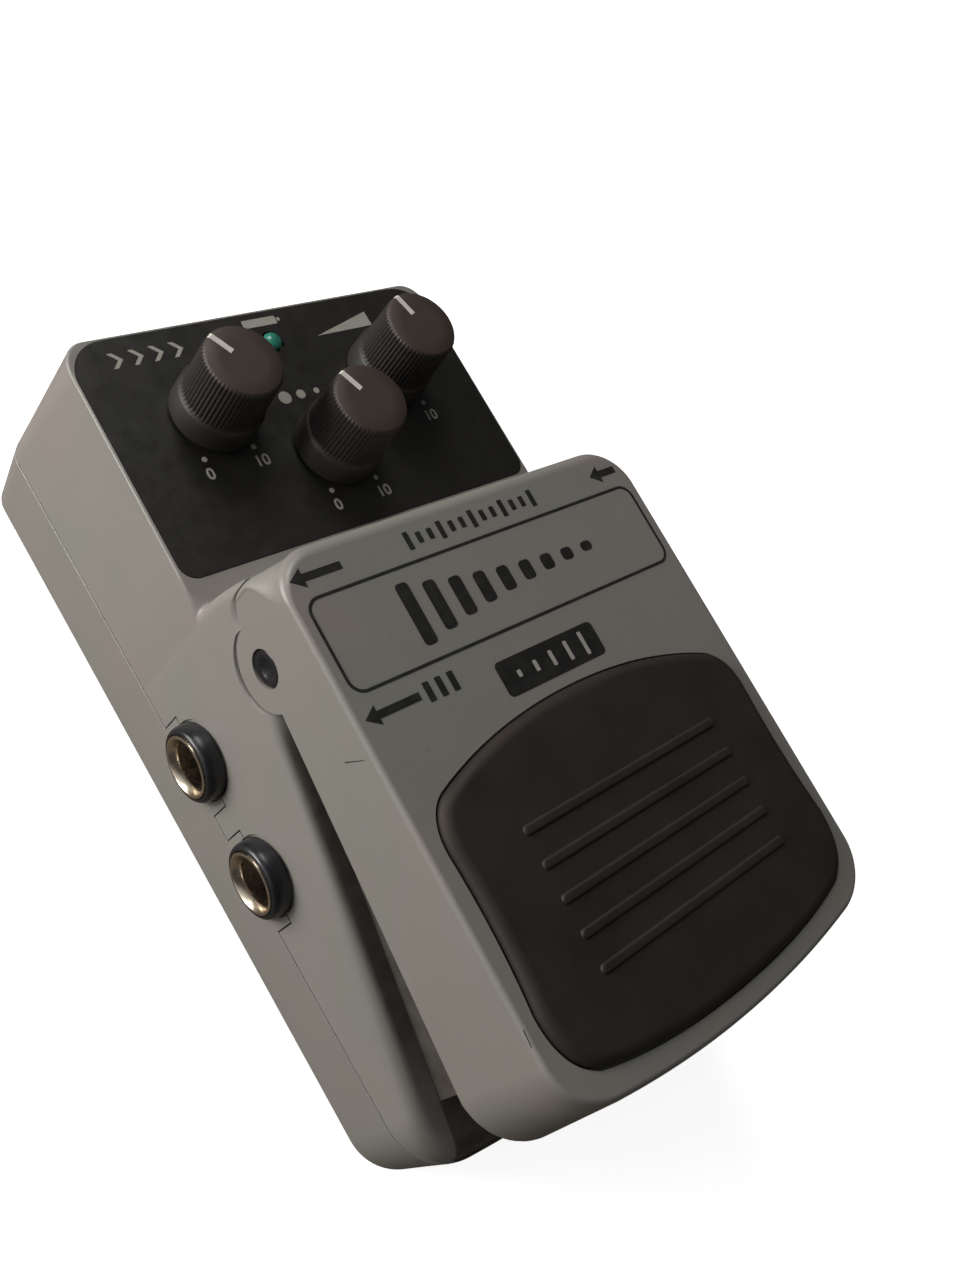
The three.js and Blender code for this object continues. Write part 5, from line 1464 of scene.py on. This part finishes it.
class PEDAL_OT_jacks(bpy.types.Operator):
    """Build the nuts and sleeves of the three jacks"""
    bl_idname = "pedal.jacks"
    bl_label = "Jack Sockets"

    def execute(self, context):
        nut_low, nut_high = 34.3 * MM, 36.9 * MM
        sleeve_low, sleeve_high = 31.4 * MM, 37.1 * MM
        inner, bore = sleeve_radius + 0.06 * MM, 3.6 * MM
        crown = 1.5 * MM
        nut = [(inner, nut_low), (nut_radius, nut_low)]
        nut += [(nut_radius - (nut_radius - inner - 0.25 * MM) * (1 - math.cos(a)),
                 nut_high - crown * (1 - math.sin(a)))
                for a in (math.pi / 2 * k / 9 for k in range(10))]
        nut += [(inner + 0.1 * MM, nut_high - 0.02 * MM), (inner, nut_high - 0.15 * MM)]
        lip = 0.18 * MM
        sleeve = [(bore, sleeve_low), (sleeve_radius, sleeve_low), (sleeve_radius, sleeve_high - lip),
                  (sleeve_radius - lip * 0.3, sleeve_high - lip * 0.3),
                  (sleeve_radius - lip, sleeve_high), (sleeve_radius - 0.4 * MM, sleeve_high),
                  (sleeve_radius - 0.52 * MM, sleeve_high - 0.1 * MM),
                  (bore + 0.06 * MM, sleeve_high - 1.1 * MM), (bore, sleeve_high - 1.3 * MM)]
        for name, side, y in jack_places():
            seat = along_x(0, y, jack_z, side)
            piece = smooth(spun("nut", nut, 72, seat), 35)
            finish(piece, f"{name}_jack_ring", look("nylon"), "case",
                   [f"jack_nut_{name}"])
            piece = smooth(spun("sleeve", sleeve, 72, seat), 35)
            finish(piece, f"{name}_jack_tube", look("nickel"), "case",
                   [f"jack_sleeve_{name}"])
        return {"FINISHED"}


class PEDAL_OT_hinge(bpy.types.Operator):
    """Build the two hinge pins with their dimpled ends, and the springs behind them"""
    bl_idname = "pedal.hinge"
    bl_label = "Hinge"

    def execute(self, context):
        for name, side in (("left", -1), ("right", 1)):
            low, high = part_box(f"hinge_pin_{name}")
            near, far = sorted((abs(low.x), abs(high.x)))
            step = lug_outer_x - slip
            tip, body, soft = 2.5 * MM, 2.88 * MM, 0.22 * MM
            profile = [(0, near), (body - soft, near), (body, near + soft), (body, step - soft),
                       (body - soft, step), (tip, step)]
            profile += [(tip - soft + x, far - soft + z)
                        for x, z in arc(0, 0, soft, 0, math.pi / 2, 4)]
            profile += [(1.6 * MM, far), (1.4 * MM, far - 0.12 * MM), (0.8 * MM, far - 0.5 * MM),
                        (0, far - 0.66 * MM)]
            seat = along_x(0, HINGE.y, HINGE.z, side)
            pin = smooth(spun("pin", profile, 56, seat), 35)
            finish(pin, f"{name}_hinge_pin_cap", look("nylon"),
                   f"{name}_hinge_pin", [f"hinge_pin_{name}"])
            low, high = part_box(f"hinge_spring_{name}")
            start, end = sorted((abs(low.x), abs(high.x)))
            radius, wire, turns = 2.1 * MM, 0.32 * MM, 4
            spring = moved(coil(radius, wire, turns, start + wire, end - wire), seat)
            smooth(spring, 60)
            finish(spring, f"{name}_hinge_coil", look("spring_steel"), "case",
                   [f"hinge_spring_{name}"])
            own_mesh(spring)
        return {"FINISHED"}


def coil(radius, wire, turns, low, high, steps=28, sides=10):
    """A coil of round wire along Z, with an even pitch from end to end."""
    count = int(turns * steps)
    rings = []
    for k in range(count + 1):
        a = math.tau * turns * k / count
        z = low + (high - low) * k / count
        section = []
        for x, y in arc(0, 0, wire, 0, math.tau * (sides - 1) / sides, sides - 1):
            section.append(((radius + x) * math.cos(a), (radius + x) * math.sin(a), z + y))
        rings.append(section)
    return tube("coil", rings)


class PEDAL_OT_small_parts(bpy.types.Operator):
    """Build the treadle's spring, the lens, the feet and the case screws"""
    bl_idname = "pedal.small_parts"
    bl_label = "Small Parts"

    def execute(self, context):
        centre = middle(SPRING_LOW, SPRING_HIGH)
        radius, wire, turns = 4.6 * MM, 0.6 * MM, 6.5
        spring = coil(radius, wire, turns, SPRING_LOW.z + wire, SPRING_HIGH.z - wire)
        smooth(moved(spring, Matrix.Translation((centre.x, centre.y, 0))), 60)
        finish(spring, "treadle_coil", look("spring_steel"), "case",
               ["treadle_spring"])
        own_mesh(spring)
        finish(smooth(lens_form(), 35), "indicator_lens", look("lens_green"),
               "case", ["led_lens"])
        for number in (1, 2, 3, 4):
            low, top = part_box(f"rubber_foot_{number}")
            centre = middle(low, top)
            radius, soft = (top.x - low.x) / 2, 0.5 * MM
            profile = [(0, low.z + 0.25 * MM), (radius * 0.55, low.z + 0.25 * MM),
                       (radius * 0.62, low.z)]
            profile += [(radius - soft + x, low.z + soft + z)
                        for x, z in arc(0, 0, soft, -math.pi / 2, 0, 5)]
            profile += [(radius, top.z), (0, top.z)]
            foot = spun("foot", profile, 56, Matrix.Translation((centre.x, centre.y, 0)))
            finish(smooth(foot, 40), f"foot_pad_{number}", look("foot_rubber"),
                   "case", [f"rubber_foot_{number}"])
            screw = case_screw(number)
            finish(smooth(screw, 35), f"case_screw_head_{number}", look("spring_steel"),
                   "case", [f"case_screw_{number}"])
        return {"FINISHED"}


def lens_form():
    """A round lens with a domed top, a flange below it and two square legs."""
    dome, base, flange_top, flange = 0.9 * MM, -4.6 * MM, -3.7 * MM, 2 * MM
    round_top = [(lens_radius * math.cos(math.pi / 2 * k / 8), dome * math.sin(math.pi / 2 * k / 8))
                 for k in range(8)]
    lens = spun("lens", [(0, base), (flange, base), (flange, flange_top),
                         (lens_radius, flange_top), *round_top, (0, dome)], 40)
    leg_half, leg_x, leg_end, leg_root = 0.22 * MM, 1.27 * MM, -9 * MM, -4.5 * MM
    legs = [block(x - leg_half, x + leg_half, -leg_half, leg_half, leg_end, leg_root)
            for x in (-leg_x, leg_x)]
    return moved(combined(lens, joined=legs),
                 on_deck_frame() @ Matrix.Translation((0, lens_y, panel_proud)))


def case_screw(number):
    """A pan-head screw with a cross recess, seen from below."""
    low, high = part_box(f"case_screw_{number}")
    centre = middle(low, high)
    head, shank, tall, soft = 2.7 * MM, 1.2 * MM, 1.7 * MM, 0.35 * MM
    profile = [(0, low.z), (head * 0.55, low.z + 0.08 * MM), (head * 0.85, low.z + 0.3 * MM),
               (head - 0.05 * MM, low.z + 0.7 * MM), (head - 0.05 * MM, low.z + tall)]
    turns = 9
    pitch = (high.z - low.z - tall) / turns
    for k in range(turns):
        base = low.z + tall + k * pitch
        profile += [(shank, base + pitch * 0.1), (shank - soft / 2, base + pitch * 0.55)]
    profile += [(0.2 * MM, high.z), (0, high.z)]
    screw = spun("screw", profile, 32, Matrix.Translation((centre.x, centre.y, 0)))
    reach, half, deep = 1.25 * MM, 0.28 * MM, 1.0 * MM
    slots = [block(-reach, reach, -half, half, -MM, deep), block(-half, half, -reach, reach, -MM, deep)]
    for slot in slots:
        moved(slot, Matrix.Translation((centre.x, centre.y, low.z)))
    return combined(screw, cut=slots)


class PEDAL_OT_inner_parts(bpy.types.Operator):
    """Give the parts inside and the inlet their finishes"""
    bl_idname = "pedal.inner_parts"
    bl_label = "Inner Parts"

    def execute(self, context):
        slots = {"main_board": "board_green", "control_board": "board_green",
                 "board_ribbon": "ribbon_grey", "battery_9v": "battery_wrap",
                 "foot_switch_plunger": "nickel", "power_inlet_pin": "nickel"}
        for name, node in frame["nodes"].items():
            if name.startswith(("pot_shaft", "board_screw")):
                key = "spring_steel"
            elif name.startswith("jack_contact"):
                key = "nickel"
            else:
                key = slots.get(name, "dark_plastic")
            node.data.materials.clear()
            node.data.materials.append(look(key))
        return {"FINISHED"}


# Markings
class PEDAL_OT_markings(bpy.types.Operator):
    """Print plain numbers, dots, bars and arrows on the panel and the treadle"""
    bl_idname = "pedal.markings"
    bl_label = "Markings"

    def execute(self, context):
        panel_marks()
        treadle_marks(context.scene.pedal_treadle)
        return {"FINISHED"}


ink_depth = 0.03 * MM


def printed(name, outlines, matrix, ink, body):
    """Thin closed plates in the shape of the given outlines, printed on a surface."""
    points, faces = [], []
    for outline in outlines:
        first, count = len(points), len(outline)
        for z in (-ink_depth, ink_depth):
            points += [matrix @ Vector((x, y, z)) for x, y in outline]
        faces += [tuple(first + k for k in range(count)),
                  tuple(first + count + k for k in range(count))]
        faces += [(first + k, first + (k + 1) % count, first + count + (k + 1) % count,
                   first + count + k) for k in range(count)]
    return finish(solid(name, points, faces), name, look(ink),
                  body)


def number_mark(name, text, height, matrix, ink, body):
    """A plain number in the built-in typeface, made as a mesh."""
    curve = bpy.data.curves.new(name, "FONT")
    curve.body = text
    curve.size = height
    curve.align_x = "CENTER"
    curve.align_y = "CENTER"
    curve.offset = height * 0.022
    curve.extrude = ink_depth
    source = link(bpy.data.objects.new(name + "_text", curve))
    graph = bpy.context.evaluated_depsgraph_get()
    data = bpy.data.meshes.new_from_object(source.evaluated_get(graph))
    bpy.data.objects.remove(source)
    data.transform(matrix)
    obj = link(bpy.data.objects.new(name, data))
    return finish(obj, name, look(ink), body)


# Sizes of the dials' marks
dot_radius = 0.42 * MM
dot_row = 6.3 * MM
dial_spread = {"left": 4.1 * MM, "middle": 4.15 * MM, "right": 4.25 * MM}
dial_shift = {"left": -0.6 * MM, "middle": 0, "right": 0}
number_height = 2.5 * MM
number_row = 8.7 * MM
number_spread = 4.3 * MM


def disc(x, y, radius, sides=24):
    return arc(x, y, radius, 0, math.tau * (sides - 1) / sides, sides - 1)


def panel_marks():
    """Dots and numbers at each dial, a plain sign above each knob, and a cell beside the lens."""
    surface = on_deck_frame() @ Matrix.Translation((0, 0, panel_proud))
    for name, x, y in knob_places():
        centre = x + dial_shift[name]
        dots = [disc(centre + side * dial_spread[name], y - dot_row, dot_radius)
                for side in (-1, 1)]
        printed(f"{name}_dial_dots", dots, surface, "ink_white", "case")
        for side, text in ((-1, "0"), (1, "10")):
            place = surface @ Matrix.Translation((centre + side * number_spread, y - number_row, 0))
            number_mark(f"{name}_dial_{text}", text, number_height, place, "ink_white", "case")
    first_x, step, row, reach = -25.6 * MM, 3.2 * MM, 20.9 * MM, 1.25 * MM
    strokes = [stroke for k in range(4) for stroke in chevron(first_x + step * k, row, reach)]
    printed("left_dial_chevrons", strokes, surface, "ink_white", "case")
    first_x, step, row, radius, shrink = -3.2 * MM, 2.9 * MM, 9.7 * MM, 1.05 * MM, 0.28 * MM
    spots = [disc(first_x + step * k, row, radius - shrink * k) for k in range(3)]
    printed("middle_dial_spots", spots, surface, "ink_white", "case")
    point_x, far_x, low, high = 8.2 * MM, 19 * MM, 18.6 * MM, 21.2 * MM
    printed("right_dial_wedge", [[(point_x, low), (far_x, low), (far_x, high)]], surface,
            "ink_white", "case")
    cell = rounded(-3.4 * MM, 2.6 * MM, 22 * MM, 23.4 * MM, 0.2 * MM, 0.2 * MM, 2)
    cell_cap = rounded(2.8 * MM, 3.3 * MM, 22.4 * MM, 23 * MM, 0.1 * MM, 0.1 * MM, 2)
    printed("lens_cell_mark", [cell, cell_cap], surface, "ink_white", "case")


def chevron(x, y, reach):
    """Two strokes that point to the right."""
    stroke = reach * 0.62
    return [[(x - reach / 2, y + side * reach), (x + reach / 2, y),
             (x + reach / 2 + stroke, y), (x - reach / 2 + stroke, y + side * reach)]
            for side in (-1, 1)]


def arrow(x0, x1, y, half):
    """A plain arrow from x0 to its point at x1."""
    way = 1 if x1 > x0 else -1
    neck = x1 - way * half * 1.5
    shaft = half * 0.4
    return [[(x0, y - shaft), (neck, y - shaft), (neck, y + shaft), (x0, y + shaft)],
            [(neck, y - half), (x1, y), (neck, y + half)]]


def bar(x, y, half_wide, half_tall, corner, steps=3):
    """An upright bar about a point, with rounded corners."""
    return rounded(x - half_wide, x + half_wide, y - half_tall, y + half_tall, corner, corner, steps)


def line_frame(x0, x1, y0, y1, corner, width):
    """A thin line round a rectangle with rounded corners, as a row of short pieces."""
    outer = rounded(x0, x1, y0, y1, corner, corner, 8)
    inner = rounded(x0 + width, x1 - width, y0 + width, y1 - width, corner - width,
                    corner - width, 8)
    return [list(piece) for piece in zip(outer, outer[1:] + outer[:1], inner[1:] + inner[:1], inner)]


# Sizes of the treadle's marks
line_width = 0.44 * MM
arrow_half = 1.35 * MM
fine_corner = 0.15 * MM


def treadle_marks(treadle):
    """A framed field with shrinking bars, a badge with light bars, three arrows and a tick scale."""
    surface = on_treadle_frame(treadle)
    raised = surface @ Matrix.Translation((0, 0, ink_depth))

    def at(x, y):
        return x * MM, along_treadle(treadle, y * MM)

    left, low = at(-29.9, -3.74)
    right, high = at(29.9, 9.45)
    printed("title_frame", line_frame(left, right, low, high, 2.2 * MM, line_width), surface,
            "ink_black", "treadle")
    half, tall, shrink_share = 1.05 * MM, 4.4 * MM, 0.8
    bars = [bar(*at(-16 + 4 * k, 2.9), half, tall * shrink_share ** k, half * 0.6, 4)
            for k in range(9)]
    printed("fading_bars", bars, surface, "ink_black", "treadle")
    left, high = at(-9.4, -6.9)
    right, low = at(9.1, -11.9)
    printed("badge", [rounded(left, right, low, high, 0.8 * MM, 0.8 * MM, 6)], surface,
            "ink_black", "treadle")
    half, tall, growth = 0.32 * MM, 0.5 * MM, 0.3 * MM
    bars = [bar(*at(-6.2 + 3.1 * k, -9.4), half, tall + growth * k, fine_corner) for k in range(5)]
    printed("badge_bars", bars, raised, "ink_white", "treadle")
    behind, before = at(0, 12.1)[1], at(0, -6.7)[1]
    printed("output_arrow", arrow(-22.4 * MM, -30.2 * MM, behind, arrow_half), surface,
            "ink_black", "treadle")
    printed("input_arrow", arrow(29.2 * MM, 23.8 * MM, behind, arrow_half), surface,
            "ink_black", "treadle")
    bars = [bar((-20.1 + 2 * k) * MM, before, 0.5 * MM, arrow_half, fine_corner) for k in range(3)]
    printed("direct_arrow", arrow(-21.6 * MM, -30.2 * MM, before, arrow_half) + bars, surface,
            "ink_black", "treadle")
    first_x, step, half, long, short = -11.4 * MM, 1.9 * MM, 0.42 * MM, 1.3 * MM, 0.8 * MM
    ticks = [bar(first_x + step * k, behind, half, short if k % 3 else long, 0.1 * MM)
             for k in range(13)]
    printed("tick_scale", ticks, surface, "ink_black", "treadle")


# Each scratch's name, then its two ends as millimetres to the front and up from the treadle's base
SCRATCHES = (("long", (9.1, 16.1), (10.5, 19.9)), ("short", (45.7, 20.1), (47.8, 19.7)))
scratch_half = 0.07 * MM


class PEDAL_OT_wear(bpy.types.Operator):
    """Scratch the treadle's left wall in two places"""
    bl_idname = "pedal.wear"
    bl_label = "Wear"

    def execute(self, context):
        lean = math.atan(context.scene.pedal_treadle.lean)
        rise, out = math.sin(lean), math.cos(lean)
        wall = (Matrix.Translation((-TREADLE_HIGH.x, 0, TREADLE_LOW.z))
                @ Matrix(((0, rise, -out), (-1, 0, 0), (0, out, rise))).to_4x4())
        for name, start, end in SCRATCHES:
            start, end = Vector(start) * MM, Vector(end) * MM
            across = (end - start).normalized().orthogonal() * scratch_half
            printed(f"{name}_scratch", [[start - across, start + across, end + across / 2,
                                         end - across / 2]], wall, "ink_black", "treadle")
        return {"FINISHED"}


# Stage and camera
class PEDAL_OT_stage(bpy.types.Operator):
    """Set up the floor, the soft light and the camera"""
    bl_idname = "pedal.stage"
    bl_label = "Stage"

    def execute(self, context):
        scene = context.scene
        scene.view_settings.view_transform = "Standard"
        reach = 3
        floor = solid("floor", [(-reach, -reach, 0), (reach, -reach, 0), (reach, reach, 0),
                                (-reach, reach, 0)], [(0, 1, 2, 3)])
        floor.data.materials.append(material("white_paper", white_paper))
        white_world(scene)
        for name, place, width, power in LAMPS:
            lamp = bpy.data.lights.new(name, "AREA")
            lamp.energy = power
            lamp.size = width
            lamp.color = LAMP_COLOUR
            obj = link(bpy.data.objects.new(name, lamp))
            obj.visible_camera = False
            aim(obj, Vector(place), LAMP_TARGET)
        scene.camera = pedal_camera()
        return {"FINISHED"}


# Each lamp's name, place and width in metres, and power in watts
LAMPS = (
    ("window", (-0.272, 0.228, 0.093), 0.18, 0.78),
    ("window_gap", (-0.372, 0.173, 0.13), 0.07, 0.32),
    ("far_window", (0.0, 0.41, 0.5), 0.25, 1.25),
)
LAMP_TARGET = Vector((0, 0, 0.03))
LAMP_COLOUR = (1, 0.985, 0.955)
WINDOW_SIDE = Vector((-0.907, 0.366, 0.208))
WINDOW_EDGE = 0.55
ROOM_LIGHT = 0.05
WINDOW_LIGHT = 1.0
PAPER_GLOW = 0.85
PAPER_SEEN = "#f4f4f4"
PAPER_BOUNCE = "#7d7268"


def aim(obj, place, target):
    obj.matrix_world = (Matrix.Translation(place)
                        @ (target - place).to_track_quat("-Z", "Y").to_matrix().to_4x4())


def white_paper(tree, place):
    """Matt white paper under the pedal. The camera sees its white, and the pedal gets back only a
    little warm light from it."""
    seen = add_node(tree, "ShaderNodeLightPath").outputs["Is Camera Ray"]
    colour = add_node(tree, "ShaderNodeMix", {
        "Factor": seen, "A": toned(linear(PAPER_BOUNCE), 1), "B": toned(linear(PAPER_SEEN), 1)},
        data_type="RGBA")
    glow = add_node(tree, "ShaderNodeMath", {0: seen, 1: PAPER_GLOW}, operation="MULTIPLY")
    return {"Base Color": colour, "Roughness": 0.9, "Emission Color": (1, 1, 1, 1),
            "Emission Strength": glow}


def white_world(scene):
    """White for the camera. For everything else a dim room that brightens towards the window."""
    scene.world = scene.world or bpy.data.worlds.new("surroundings")
    scene.world.use_nodes = True
    tree = scene.world.node_tree
    tree.nodes.clear()
    way = add_node(tree, "ShaderNodeTexCoord").outputs["Generated"]
    facing = add_node(tree, "ShaderNodeVectorMath", {0: way, 1: WINDOW_SIDE},
                      operation="DOT_PRODUCT")
    room = add_node(tree, "ShaderNodeMapRange", {
        "Value": facing.outputs["Value"], "From Min": WINDOW_EDGE, "From Max": 1, "To Min": ROOM_LIGHT,
        "To Max": WINDOW_LIGHT}, interpolation_type="SMOOTHSTEP")
    seen = add_node(tree, "ShaderNodeLightPath").outputs["Is Camera Ray"]
    strength = add_node(tree, "ShaderNodeMix", {"Factor": seen, "A": room, "B": 1.0})
    back = add_node(tree, "ShaderNodeBackground", {"Color": (1, 1, 1, 1), "Strength": strength})
    add_node(tree, "ShaderNodeOutputWorld", {"Surface": back})


CAMERA_PLACE = Vector((-0.10811, -0.03054, 0.17263))
CAMERA_FORWARD = Vector((0.624, 0.177, -0.7611))
CAMERA_UP = Vector((0.3106, 0.8376, 0.4494))
CAMERA_LENS = 34.867
CAMERA_SHIFT = (0.0040, -0.0034)


def pedal_camera():
    """The photo's camera: close above the left front of the pedal, turned a little on its axis."""
    data = bpy.data.cameras.new("camera")
    data.lens = CAMERA_LENS
    data.shift_x, data.shift_y = CAMERA_SHIFT
    data.clip_start, data.clip_end = 0.01, 10
    obj = link(bpy.data.objects.new("camera", data))
    back = -CAMERA_FORWARD.normalized()
    right = CAMERA_UP.cross(back).normalized()
    turn = Matrix((right, back.cross(right), back)).transposed().to_4x4()
    obj.matrix_world = Matrix.Translation(CAMERA_PLACE) @ turn
    return obj


# Add-on
OPERATORS = (
    PEDAL_OT_stage, PEDAL_OT_upper_case, PEDAL_OT_lower_case, PEDAL_OT_treadle, PEDAL_OT_pad,
    PEDAL_OT_panel, PEDAL_OT_knobs, PEDAL_OT_jacks, PEDAL_OT_hinge, PEDAL_OT_small_parts,
    PEDAL_OT_inner_parts, PEDAL_OT_markings, PEDAL_OT_wear,
)
GROUPS = {
    "pedal_case": PedalCase, "pedal_treadle": PedalTreadle, "pedal_deck": PedalDeck,
    "pedal_finish": PedalFinish,
}


class PEDAL_PT_panel(bpy.types.Panel):
    """The pedal's sizes, colours and building steps"""
    bl_idname = "PEDAL_PT_panel"
    bl_label = "Foot Pedal"
    bl_space_type = "VIEW_3D"
    bl_region_type = "UI"
    bl_category = "Pedal"

    def draw(self, context):
        layout = self.layout
        for name, group in GROUPS.items():
            box = layout.box()
            for key in group.__annotations__:
                box.prop(getattr(context.scene, name), key)
        for operator in OPERATORS:
            layout.operator(operator.bl_idname)


def register():
    for kind in (*GROUPS.values(), *OPERATORS, PEDAL_PT_panel):
        bpy.utils.register_class(kind)
    for name, group in GROUPS.items():
        setattr(bpy.types.Scene, name, PointerProperty(type=group))


def unregister():
    for name in GROUPS:
        delattr(bpy.types.Scene, name)
    for kind in reversed((*GROUPS.values(), *OPERATORS, PEDAL_PT_panel)):
        bpy.utils.unregister_class(kind)


def main():
    register()
    for operator in OPERATORS:
        group, name = operator.bl_idname.split(".")
        getattr(getattr(bpy.ops, group), name)()


if __name__ == "__main__":
    main()
